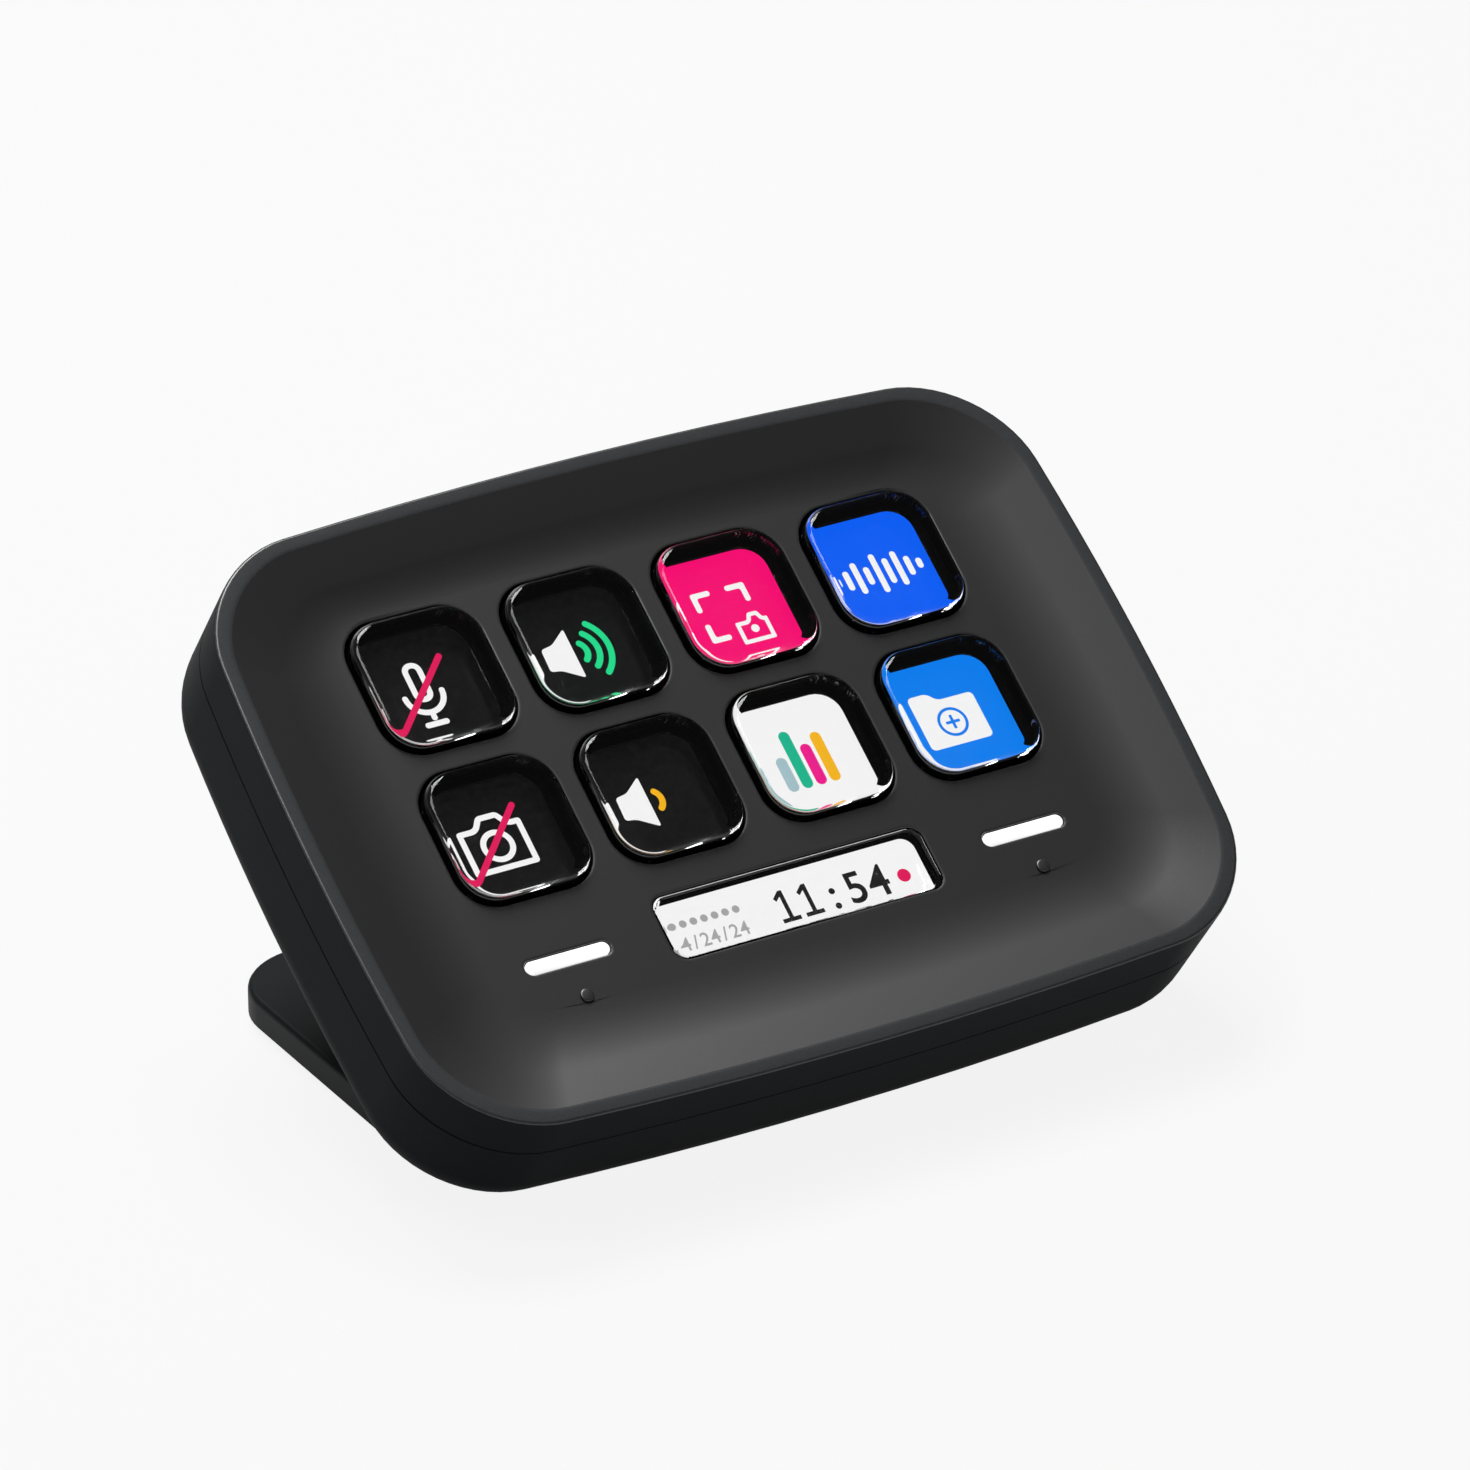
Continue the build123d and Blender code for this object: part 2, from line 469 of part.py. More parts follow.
chips = {
    "processor": (PROCESSOR_AT, PROCESSOR_SIZE, PROCESSOR_SIZE, PROCESSOR_THICK),
    "memory_chip": (MEMORY_AT, MEMORY_WIDTH, MEMORY_HEIGHT, MEMORY_THICK),
    "voltage_regulator": (REGULATOR_AT, REGULATOR_WIDTH, REGULATOR_HEIGHT, REGULATOR_THICK),
    "display_connector": ((0, CONNECTOR_Y), CONNECTOR_WIDTH, CONNECTOR_HEIGHT, CONNECTOR_THICK),
}
for name, (place, width, height, thick) in chips.items():
    with BuildPart() as chip:
        with BuildSketch(key_face.offset(BOARD_BOTTOM - thick)):
            with Locations(place):
                Rectangle(width, height)
        extrude(amount=thick)
        chamfer(level_faces(chip, -1).edges(), CHIP_EDGE)
    write(chip, name)

with BuildPart() as usb_c_socket:
    socket_mouth = BACK + POCKET_DEPTH
    mouth_end = socket_mouth + SOCKET_MOUTH_DEPTH
    in_socket = SOCKET_WIDTH - 2 * SOCKET_WALL, SOCKET_HEIGHT - 2 * SOCKET_WALL
    slot_block([(0, SOCKET_Y)], SOCKET_WIDTH, SOCKET_HEIGHT, BOARD_BOTTOM, socket_mouth)
    slot_block([(0, SOCKET_Y)], *in_socket, mouth_end, socket_mouth, Mode.SUBTRACT)
    with BuildSketch(key_face.offset(socket_mouth + TONGUE_SHORT)):
        with Locations((0, SOCKET_Y)):
            Rectangle(TONGUE_WIDTH, TONGUE_THICK)
    extrude(amount=SOCKET_MOUTH_DEPTH - TONGUE_SHORT)
write(usb_c_socket, "usb_c_socket")

with BuildPart() as display_flex:
    flex_back = BOARD_BOTTOM - CONNECTOR_THICK / 2
    with BuildSketch(from_side.offset(-FLEX_WIDTH / 2)):
        with BuildLine():
            FilletPolyline(
                side_point(DISPLAY_LOW, FLEX_Z),
                side_point(FLEX_TURN, FLEX_Z),
                side_point(FLEX_TURN, flex_back),
                side_point(CONNECTOR_Y - CONNECTOR_HEIGHT / 2, flex_back),
                radius=FLEX_BEND,
            )
        trace(line_width=FLEX_THICK)
    extrude(amount=FLEX_WIDTH)
write(display_flex, "display_flex")

# ------------------------------------------------------------------ screws


def cap_screws(name, places, seat, tip):
    """Screws whose heads sit on a seat and whose shanks end at a tip, both heights on the key face."""
    head_end = seat - copysign(HEAD_THICK, tip - seat)
    with BuildPart() as screws:
        posts(places, HEAD_RADIUS, seat, head_end)
        posts(places, SCREW_RADIUS, tip, seat)
        with BuildSketch(key_face.offset(head_end)) as hex_recess:
            with Locations(*places):
                RegularPolygon(HEX_RECESS, 6)
        extrude(hex_recess.sketch, amount=copysign(HEX_DEPTH, tip - seat), mode=Mode.SUBTRACT)
    write(screws, name)


cap_screws("shell_screws", shell_screw_places, shell_head_seat, shell_head_seat + SHELL_SCREW_LENGTH)
cap_screws("frame_screws", frame_screw_places, FRAME_BOTTOM, FRAME_BOTTOM + FRAME_SCREW_LENGTH)
cap_screws("board_screws", board_screw_places, BOARD_BOTTOM, BOARD_BOTTOM + BOARD_SCREW_LENGTH)
cap_screws("stand_screws", stand_screw_places, INNER_BACK, INNER_BACK - STAND_SCREW_LENGTH)
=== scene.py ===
"""Macro keypad: a dished key face that leans back on a flat foot, with clear keys over one display."""
import json
import math

import bmesh
import bpy
from mathutils import Matrix, Vector

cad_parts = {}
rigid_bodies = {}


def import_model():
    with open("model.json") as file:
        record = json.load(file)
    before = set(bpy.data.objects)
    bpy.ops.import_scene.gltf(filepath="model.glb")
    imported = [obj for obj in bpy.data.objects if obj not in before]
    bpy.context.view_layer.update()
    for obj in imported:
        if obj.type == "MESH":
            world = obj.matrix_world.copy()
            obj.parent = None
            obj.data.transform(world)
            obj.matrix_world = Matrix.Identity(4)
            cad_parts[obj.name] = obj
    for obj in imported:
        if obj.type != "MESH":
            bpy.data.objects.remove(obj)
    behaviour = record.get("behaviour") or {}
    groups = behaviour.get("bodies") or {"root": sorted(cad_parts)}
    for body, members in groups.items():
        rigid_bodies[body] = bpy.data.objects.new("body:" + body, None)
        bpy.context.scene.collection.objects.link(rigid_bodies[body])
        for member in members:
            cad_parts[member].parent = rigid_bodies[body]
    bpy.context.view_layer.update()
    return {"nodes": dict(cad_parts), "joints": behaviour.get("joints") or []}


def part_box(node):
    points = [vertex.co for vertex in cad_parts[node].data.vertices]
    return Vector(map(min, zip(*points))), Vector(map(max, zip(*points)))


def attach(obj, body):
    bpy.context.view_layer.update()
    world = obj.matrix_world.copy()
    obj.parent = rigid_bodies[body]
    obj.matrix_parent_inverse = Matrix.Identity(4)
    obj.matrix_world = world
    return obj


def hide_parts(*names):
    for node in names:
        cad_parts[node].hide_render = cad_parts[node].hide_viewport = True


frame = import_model()
nodes = frame["nodes"]

# ---------------------------------------------------------------- foot and leg
# One ABS moulding, charcoal: a flat foot on the desk, and a leg that lies on the back of the body.
# Drawn upright in millimetres: the foot from its plan, the leg from its side, and then joined.

FOOT_THICK, FOOT_EDGE = 3.4, 0.7
SLACK = 0.1  # for telling edges and faces apart by their height
FOOT_CORNER, FOOT_FRONT_CORNER = 9.5, 14.0  # seen from above
LEG_WIDTH, LEG_LOW, LEG_HIGH, LEG_CORNER = 56.0, -40.3, -1.3, 7.0
LEG_EDGE, EDGE_START = 0.5, 14.0  # the leg's back edge is rounded from this height above its end
LEG_BACK, BEND_RADIUS, BEND_ROOM = -20.8, 2.5, 0.05
SUNK = 1.0  # how far the leg is let into the foot before the two are joined
PAD_CORNER = 7.0
BACK = -17.8  # back of the body, above the flat floor of the dish
MEMBRANE_MIDDLE = -3.575  # height of the middle of the key membrane

press = Vector(frame["joints"][0]["axis"])  # keys go in along the face's own normal
face_x, face_z = Vector((1, 0, 0)), -press
face_y = face_z.cross(face_x)
membrane_low, membrane_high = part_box("key_membrane")
face_origin = (membrane_low + membrane_high) / 2 - face_z * MEMBRANE_MIDDLE / 1000
face_turn = Matrix((face_x, face_y, face_z)).transposed().to_4x4()
on_face = Matrix.Translation(face_origin) @ face_turn @ Matrix.Scale(0.001, 4)
upright = Matrix.Scale(0.001, 4)


def linear(hex_colour):
    """An sRGB hex colour as the linear red, green, blue and alpha that Blender's sockets take."""
    levels = [int(hex_colour[place:place + 2], 16) / 255 for place in (1, 3, 5)]
    return (*[v / 12.92 if v <= 0.04045 else ((v + 0.055) / 1.055) ** 2.4 for v in levels], 1.0)


def add_node(material, kind, settings=None, links=None):
    """Adds a node: settings set its properties and sockets, links maps its inputs to other outputs."""
    node = material.node_tree.nodes.new(kind)
    for key, value in (settings or {}).items():
        if hasattr(node, key):
            setattr(node, key, value)
        else:
            node.inputs[key].default_value = value
    for key, output in (links or {}).items():
        material.node_tree.links.new(output, node.inputs[key])
    return node


def new_material(name, settings):
    """A material with one Principled surface; returns the material and its surface node."""
    material = bpy.data.materials.new(name)
    material.use_nodes = True
    surface = material.node_tree.nodes["Principled BSDF"]
    for key, value in settings.items():
        surface.inputs[key].default_value = value
    return material, surface


def select_only(piece):
    """Makes one piece the selected and active one."""
    bpy.ops.object.select_all(action='DESELECT')
    piece.select_set(True)
    bpy.context.view_layer.objects.active = piece


def finish_moulding(piece):
    """Rounds read as round: smooth faces up to 30 degrees apart, with flat faces kept flat."""
    select_only(piece)
    bpy.ops.object.shade_smooth_by_angle(angle=math.radians(30))
    weighted = piece.modifiers.new("flat_faces", 'WEIGHTED_NORMAL')
    weighted.keep_sharp = True
    weighted.weight = 100
    bpy.ops.object.modifier_apply(modifier=weighted.name)
    piece.select_set(False)


def dress(piece, body, *materials):
    """Gives a piece its materials and lets it ride on its body."""
    piece.data.materials.clear()
    for material in materials:
        piece.data.materials.append(material)
    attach(piece, body)


def smooth_copy(node_name, piece_name):
    """A merged copy of a CAD node's mesh, with smooth rounds, that stands for the node."""
    piece = bpy.data.objects.new(piece_name, nodes[node_name].data.copy())
    bpy.context.scene.collection.objects.link(piece)
    select_only(piece)
    bpy.ops.object.mode_set(mode='EDIT')
    bpy.ops.mesh.select_all(action='SELECT')
    bpy.ops.mesh.remove_doubles(threshold=1e-6)
    bpy.ops.object.mode_set(mode='OBJECT')
    finish_moulding(piece)
    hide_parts(node_name)
    return piece


def start_drawing(name):
    """Starts a piece: an empty mesh in edit mode, to be drawn flat in millimetres."""
    bpy.ops.object.select_all(action='DESELECT')
    bpy.ops.mesh.primitive_plane_add(size=1)
    piece = bpy.context.object
    piece.name = name
    bpy.ops.object.mode_set(mode='EDIT')
    bpy.ops.mesh.select_mode(type='EDGE')
    bpy.ops.mesh.select_all(action='SELECT')
    bpy.ops.mesh.delete(type='VERT')
    bmesh.from_edit_mesh(piece.data).verts.layers.int.new("loop")
    return piece


def end_drawing(piece, place):
    """Ends a piece that is in edit mode: merges it, turns its faces outwards, puts it in its place."""
    bpy.ops.mesh.select_all(action='SELECT')
    bpy.ops.mesh.remove_doubles(threshold=1e-4)
    bpy.ops.mesh.normals_make_consistent(inside=False)
    bpy.ops.object.mode_set(mode='OBJECT')
    if "loop" in piece.data.attributes:
        piece.data.attributes.remove(piece.data.attributes["loop"])
    piece.matrix_world = place
    select_only(piece)
    bpy.ops.object.transform_apply(location=True, rotation=True, scale=True)
    finish_moulding(piece)
    return piece


def add_block(middle, width, height, bottom, top):
    """Adds a block to the drawing, between two heights, and leaves it selected."""
    bpy.ops.mesh.select_all(action='DESELECT')
    centre = (*middle, (bottom + top) / 2)
    bpy.ops.mesh.primitive_cube_add(size=1, location=centre)
    bpy.ops.transform.resize(value=(width, height, top - bottom), center_override=centre)


def select_parts(parts, wanted):
    """Of what is selected, keeps the edges or faces that are wanted, and drops the rest."""
    mesh = bmesh.from_edit_mesh(bpy.context.object.data)
    kept = [part for part in getattr(mesh, parts) if part.select and wanted(part)]
    bpy.ops.mesh.select_all(action='DESELECT')
    for part in kept:
        part.select_set(True)
    bmesh.update_edit_mesh(bpy.context.object.data)


def is_upright(edge):
    """Whether an edge stands straight up in its drawing."""
    first, second = (vertex.co for vertex in edge.verts)
    return (first - second).xy.length < 1e-4


def mottle(material, socket, scale, detail, colours, ends=(0.0, 1.0)):
    """Lets a colour of the surface wander between two with a noise, which it returns."""
    place = add_node(material, "ShaderNodeTexCoord")
    noise = add_node(material, "ShaderNodeTexNoise", {"Scale": scale, "Detail": detail},
                     {"Vector": place.outputs["Object"]})
    tone = add_node(material, "ShaderNodeValToRGB", None, {"Fac": noise.outputs["Fac"]})
    for stop, colour, end in zip(tone.color_ramp.elements, colours, ends):
        stop.position, stop.color = end, colour
    surface = material.node_tree.nodes["Principled BSDF"]
    material.node_tree.links.new(tone.outputs["Color"], surface.inputs[socket])
    return noise


def shades(hex_colour, spread):
    """A colour that is a share darker, and one that is as much lighter."""
    levels = linear(hex_colour)[:3]
    return [[share * level for level in levels] + [1] for share in (1 - spread, 1 + spread)]


def moulded_plastic(name, hex_colour, roughness, grain_mm, gloss=None):
    """A moulding from a spark-eroded mould: fine matt grain, with a broad soft sheen."""
    material, surface = new_material(name, {"Roughness": roughness, **(gloss or {})})
    # grain finer than the eye parts at this distance is drawn a little coarser than the real one
    grain = mottle(material, "Base Color", 1000 / grain_mm, 3.0, shades(hex_colour, 0.1), (0.3, 0.7))
    bump = add_node(material, "ShaderNodeBump", {"Strength": 0.25, "Distance": 0.00004},
                    {"Height": grain.outputs["Fac"]})
    material.node_tree.links.new(bump.outputs["Normal"], surface.inputs["Normal"])
    return material


def combine(piece, other, operation):
    """Joins another drawn piece to this one, or cuts it out of it."""
    select_only(piece)
    change = piece.modifiers.new("change", 'BOOLEAN')
    change.operation = operation
    change.solver = 'EXACT'
    change.object = other
    bpy.ops.object.modifier_apply(modifier=change.name)
    bpy.data.objects.remove(other)


def plan_of(low, high):
    """The middle, width and depth of a box seen from above, from its two corners."""
    return ((low.x + high.x) / 2, (low.y + high.y) / 2), high.x - low.x, high.y - low.y


stand_low, stand_high = (1000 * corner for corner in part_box("stand"))
foot_top = stand_low.z + FOOT_THICK
foot_plan = plan_of(stand_low, stand_high)
foot_and_leg = start_drawing("foot_and_leg")
add_block(*foot_plan, stand_low.z, foot_top)
foot_half = foot_plan[0][1]
for corner, at_back in ((FOOT_CORNER, True), (FOOT_FRONT_CORNER, False)):
    select_parts("edges", lambda edge: is_upright(edge) and (edge.verts[0].co.y > foot_half) == at_back)
    bpy.ops.mesh.bevel(offset=corner, segments=14)
    bpy.ops.mesh.select_linked()
select_parts("faces", lambda face: face.normal.z > 0.9)
bpy.ops.mesh.region_to_loop()
bpy.ops.mesh.bevel(offset=FOOT_EDGE, segments=4)
# cut off in front along the back of the body
bpy.ops.mesh.select_all(action='SELECT')
body_back = 1000 * (on_face @ Vector((0, 0, BACK)))
bpy.ops.mesh.bisect(plane_co=body_back, plane_no=face_z, use_fill=True, clear_outer=True)
bpy.ops.object.mode_set(mode='OBJECT')

leg = start_drawing("leg")
leg_end = 1000 * (on_face @ Vector((0, LEG_LOW, LEG_BACK)))
bend = leg_end + face_y * (foot_top - leg_end.z) / face_y.z
bend_run = BEND_RADIUS / math.tan(math.acos(face_y.y) / 2)
nose = 1000 * (on_face @ Vector((0, LEG_LOW + SUNK, BACK)))
side = [Vector((0, nose.y, stand_low.z + SUNK)), nose, 1000 * (on_face @ Vector((0, LEG_HIGH, BACK))),
        1000 * (on_face @ Vector((0, LEG_HIGH, LEG_BACK))), bend,
        bend + Vector((0, bend_run + BEND_ROOM, 0)),
        Vector((0, bend.y + bend_run + BEND_ROOM, stand_low.z + SUNK))]
mesh = bmesh.from_edit_mesh(leg.data)
outline = [mesh.verts.new(point - Vector((LEG_WIDTH / 2, 0, 0))) for point in side]
mesh.faces.new(outline)
bmesh.update_edit_mesh(leg.data)
# a round fills the sharp corner where the leg comes down to the foot
bpy.ops.mesh.select_mode(type='VERT')
outline[4].select_set(True)
bmesh.update_edit_mesh(leg.data)
bpy.ops.mesh.bevel(offset=bend_run, segments=10, affect='VERTICES')
bpy.ops.mesh.select_mode(type='EDGE')
bpy.ops.mesh.select_all(action='SELECT')
bpy.ops.mesh.extrude_region_move(TRANSFORM_OT_translate={"value": (LEG_WIDTH, 0, 0)})
bpy.ops.mesh.select_all(action='SELECT')
bpy.ops.mesh.normals_make_consistent(inside=False)
leg_top = side[3].z
select_parts("edges", lambda edge: all(vertex.co.z > leg_top - SLACK for vertex in edge.verts)
             and abs(edge.verts[0].co.x - edge.verts[1].co.x) < 1)
bpy.ops.mesh.bevel(offset=LEG_CORNER, segments=10)
bpy.ops.mesh.select_linked()
select_parts("faces", lambda face: face.normal.dot(face_z) < -0.999)
bpy.ops.mesh.region_to_loop()
select_parts("edges", lambda edge: max(vertex.co.z for vertex in edge.verts) > leg_end.z + EDGE_START)
bpy.ops.mesh.bevel(offset=LEG_EDGE, segments=3)
bpy.ops.object.mode_set(mode='OBJECT')
combine(foot_and_leg, leg, 'UNION')

pad_low, pad_high = (1000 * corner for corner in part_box("foot_pad"))
pad_recess = start_drawing("pad_recess")
add_block(*plan_of(pad_low, pad_high), pad_low.z - 1, pad_high.z)
select_parts("edges", is_upright)
bpy.ops.mesh.bevel(offset=PAD_CORNER, segments=12)
bpy.ops.object.mode_set(mode='OBJECT')
combine(foot_and_leg, pad_recess, 'DIFFERENCE')
bpy.ops.object.mode_set(mode='EDIT')
end_drawing(foot_and_leg, upright)
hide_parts("stand")
# charcoal, with hardly any sheen on the wide flat top
foot_abs = moulded_plastic("foot_abs", "#191b1d", 0.5, 0.35, {"Specular IOR Level": 0.2})
dress(foot_and_leg, "case", foot_abs)

# ---------------------------------------------------------------- foot pad
# A sheet of black rubber, glued into a recess in the underside of the foot, which it keeps from
# sliding. Its skin is matt, so it shows no highlight.

black_rubber, _ = new_material("black_rubber", {"Base Color": linear("#141415"), "Roughness": 0.85})
dress(smooth_copy("foot_pad", "rubber_pad"), "case", black_rubber)

# ---------------------------------------------------------------- rear shell
# The deep half of the case: a charcoal ABS moulding with round back edges and a fine parting line.
# Drawn flat in millimetres on the key face, as loops that are bridged into walls, then leant back.

FACE_WIDTH, FACE_LOW, FACE_HIGH = 107.0, -46.8, 31.2  # outer edges, from the middle of the keys
SIDE_BOW, END_BOW = 1.8, 2.0  # how far the middle of a side stands out past its corners
CORNER_RADIUS = 15.0
RIM, PARTING, INNER_BACK = 2.2, -4.4, -15.8  # heights above the flat floor of the dish
BACK_ROUND, WALL = 6.0, 2.0
LIP_INSET, LIP_DEPTH = 1.0, 1.7
PARTING_CHAMFER = 0.15
CORNER_STEPS, SIDE_CUTS = 14, 9


def number_loop():
    """Numbers the loop that is selected in edit mode, so that it can be found again."""
    mesh = bmesh.from_edit_mesh(bpy.context.object.data)
    numbers = mesh.verts.layers.int["loop"]
    number = max(vertex[numbers] for vertex in mesh.verts) + 1
    for vertex in mesh.verts:
        if vertex.select:
            vertex[numbers] = number
    bmesh.update_edit_mesh(bpy.context.object.data)
    return number


def select_loops(*loops):
    """Selects some numbered loops, and nothing else."""
    bpy.ops.mesh.select_all(action='DESELECT')
    mesh = bmesh.from_edit_mesh(bpy.context.object.data)
    numbers = mesh.verts.layers.int["loop"]
    for edge in mesh.edges:
        first, second = (vertex[numbers] for vertex in edge.verts)
        if first == second and first in loops:
            edge.select_set(True)
    bmesh.update_edit_mesh(bpy.context.object.data)


def add_loop(middle, width, height, corner, level, steps=10):
    """Draws a closed loop in edit mode: a rectangle with round corners, which never quite meet."""
    corner = min(corner, height / 2 - 0.01)
    bpy.ops.mesh.select_all(action='DESELECT')
    bpy.ops.mesh.primitive_plane_add(size=1, location=(*middle, level))
    bpy.ops.transform.resize(value=(width, height, 1), center_override=(*middle, level))
    bpy.ops.mesh.bevel(offset=corner, segments=steps, affect='VERTICES')
    loop = number_loop()
    bpy.ops.mesh.delete(type='ONLY_FACE')
    select_loops(loop)
    return loop


def add_circle(middle, radius, level, steps=32):
    """Draws a closed round loop in edit mode."""
    bpy.ops.mesh.select_all(action='DESELECT')
    bpy.ops.mesh.primitive_circle_add(vertices=steps, radius=radius, location=(*middle, level))
    return number_loop()


def add_outline(inset, level, corner=None, bow=1.0, high_inset=None):
    """Draws the body's outline in edit mode, at an inset from its edge: bowed sides, round corners."""
    corner = CORNER_RADIUS - inset if corner is None else corner
    low, high = FACE_LOW + inset, FACE_HIGH - (inset if high_inset is None else high_inset)
    middle, side_bow, end_bow = (low + high) / 2, SIDE_BOW * bow, END_BOW * bow
    half_width = FACE_WIDTH / 2 - inset - side_bow
    half_height = (high - low) / 2 - end_bow
    # the sides lean in towards the corners, so a corner turns through less than a right angle
    turn = math.pi / 2 - math.atan(2 * end_bow / half_width) - math.atan(2 * side_bow / half_height)
    add_loop((0, middle), 2 * half_width, 2 * half_height, corner * math.tan(turn / 2), level, CORNER_STEPS)
    mesh = bmesh.from_edit_mesh(bpy.context.object.data)
    straight = [edge for edge in mesh.edges if edge.select and edge.calc_length() > corner]
    bpy.ops.mesh.select_all(action='DESELECT')
    for edge in straight:
        edge.select_set(True)
    bpy.ops.mesh.subdivide(number_cuts=SIDE_CUTS)
    bpy.ops.mesh.select_linked()
    mesh = bmesh.from_edit_mesh(bpy.context.object.data)
    for vertex in [vertex for vertex in mesh.verts if vertex.select]:
        across, up = vertex.co.x / half_width, (vertex.co.y - middle) / half_height
        vertex.co.x += math.copysign(side_bow * (1 - up ** 2), across) * (abs(across) > 0.5)
        vertex.co.y += math.copysign(end_bow * (1 - across ** 2), up)
    return number_loop()


def bridge(*loops):
    """Joins each loop to the next with a band of faces, flat where the two are level."""
    for first, second in zip(loops, loops[1:]):
        select_loops(first, second)
        mesh = bmesh.from_edit_mesh(bpy.context.object.data)
        levels = [vertex.co.z for vertex in mesh.verts if vertex.select]
        if max(levels) - min(levels) < 1e-5:
            fill(first, second)
        else:
            bpy.ops.mesh.bridge_edge_loops()


def fill(*loops):
    """Fills the flat face between loops; a loop inside another is left as its hole."""
    select_loops(*loops)
    bpy.ops.mesh.fill()


def round_over(radius, steps):
    """The points of a quarter round, as how far it comes in and how far it goes up."""
    turns = [math.pi / 2 * step / steps for step in range(steps + 1)]
    return [(radius * (1 - math.cos(turn)), radius * math.sin(turn)) for turn in turns]


SOCKET_MIDDLE = (0, 14.0)
POCKET, POCKET_DEPTH = (13.2, 7.4), 0.8  # shallow recess for the plug's grip
SOCKET_WAY = (9.34, 3.66)
SHELL_SCREWS = [(-43, -33.8), (43, -33.8), (-43, 18), (43, 18)]
STAND_SCREWS = [(-20, -31), (20, -31), (-20, -10), (20, -10)]
HEAD_RECESS, HEAD_SEAT, SHANK_HOLE = 2.2, -12.8, 1.2
BOSS_RADIUS, BOSS_MEET = 2.4, -10.6

rear_shell = start_drawing("rear_moulding")
back_round = [add_outline(inset, BACK + BACK_ROUND - depth) for inset, depth in round_over(BACK_ROUND, 10)]
inner_round = [add_outline(WALL + inset, INNER_BACK + BACK_ROUND - WALL - depth)
               for inset, depth in round_over(BACK_ROUND - WALL, 8)]
parting_edge = add_outline(PARTING_CHAMFER, PARTING)
groove = [add_outline(LIP_INSET, PARTING), add_outline(LIP_INSET, PARTING - LIP_DEPTH)]
bridge(inner_round[-1], *inner_round[-2::-1], add_outline(WALL, PARTING - LIP_DEPTH), *groove[::-1],
       parting_edge, add_outline(0, PARTING - PARTING_CHAMFER), *back_round)

outside, inside = [back_round[-1]], [inner_round[-1]]
pocket = [add_loop(SOCKET_MIDDLE, *POCKET, POCKET[1] / 2, level) for level in (BACK, BACK + POCKET_DEPTH)]
way = [add_loop(SOCKET_MIDDLE, *SOCKET_WAY, SOCKET_WAY[1] / 2, level)
       for level in (BACK + POCKET_DEPTH, INNER_BACK)]
bridge(*pocket)
fill(pocket[1], way[0])
bridge(*way)
outside.append(pocket[0])
inside.append(way[1])
for place in SHELL_SCREWS:
    # a deep recess for the screw's head, in a boss that meets the front shell's
    boss = [add_circle(place, radius, level) for radius, level in (
        (HEAD_RECESS, BACK), (HEAD_RECESS, HEAD_SEAT), (SHANK_HOLE, HEAD_SEAT),
        (SHANK_HOLE, BOSS_MEET), (BOSS_RADIUS, BOSS_MEET), (BOSS_RADIUS, INNER_BACK))]
    bridge(*boss)
    outside.append(boss[0])
    inside.append(boss[-1])
for place in STAND_SCREWS:
    hole = [add_circle(place, SHANK_HOLE, level) for level in (BACK, INNER_BACK)]
    bridge(*hole)
    outside.append(hole[0])
    inside.append(hole[1])
fill(*outside)
fill(*inside)
end_drawing(rear_shell, on_face)
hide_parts("rear_shell")
# etched deeper than the dish, so it stays dark and dry where the light grazes it
rear_abs = moulded_plastic("rear_abs", "#16191c", 0.55, 0.35, {"Specular IOR Level": 0.06})
dress(rear_shell, "case", rear_abs)

# ---------------------------------------------------------------- main board
# A one millimetre FR-4 board on four posts of the rear shell. Its epoxy chips, ivory connector and
# folded steel USB-C socket are soldered to it, and four blackened steel screws hold it.


def finish_node(node_name, material):
    """Gives a CAD node, which keeps its own shape, its material."""
    for slot in nodes[node_name].material_slots:
        slot.material = material


def circuit_board(name, mask, tracks, pitch_mm):
    """A board under solder mask: copper tracks show through as slightly lighter, raised lines."""
    material, surface = new_material(name, {"Roughness": 0.32, "Coat Weight": 0.3})
    place = add_node(material, "ShaderNodeTexCoord")
    cells = add_node(material, "ShaderNodeTexVoronoi", {
        "feature": 'DISTANCE_TO_EDGE', "Scale": 1000 / pitch_mm, "Randomness": 0.55},
        {"Vector": place.outputs["Object"]})
    lines = add_node(material, "ShaderNodeValToRGB", None, {"Fac": cells.outputs["Distance"]})
    lines.color_ramp.elements[0].position = 0.06
    lines.color_ramp.elements[1].position = 0.12
    lines.color_ramp.elements[0].color = linear(tracks)
    lines.color_ramp.elements[1].color = linear(mask)
    bump = add_node(material, "ShaderNodeBump", {"Strength": 0.4, "Distance": 0.00004, "invert": True},
                    {"Height": cells.outputs["Distance"]})
    material.node_tree.links.new(lines.outputs["Color"], surface.inputs["Base Color"])
    material.node_tree.links.new(bump.outputs["Normal"], surface.inputs["Normal"])
    return material


def uneven_gloss(name, settings, scale, detail, low, high):
    """A smooth surface whose roughness wanders a little, so that its reflections aren't perfect."""
    material, surface = new_material(name, settings)
    place = add_node(material, "ShaderNodeTexCoord")
    noise = add_node(material, "ShaderNodeTexNoise", {"Scale": scale, "Detail": detail},
                     {"Vector": place.outputs["Object"]})
    uneven = add_node(material, "ShaderNodeMapRange", {"To Min": low, "To Max": high},
                      {"Value": noise.outputs["Fac"]})
    material.node_tree.links.new(uneven.outputs["Result"], surface.inputs["Roughness"])
    return material


def steel(name, hex_colour, roughness, grain_mm):
    """Steel with a fine uneven finish: the grain breaks the reflection up a little."""
    return uneven_gloss(name, {"Base Color": linear(hex_colour), "Metallic": 1.0}, 1000 / grain_mm, 4.0,
                        roughness - 0.08, roughness + 0.08)


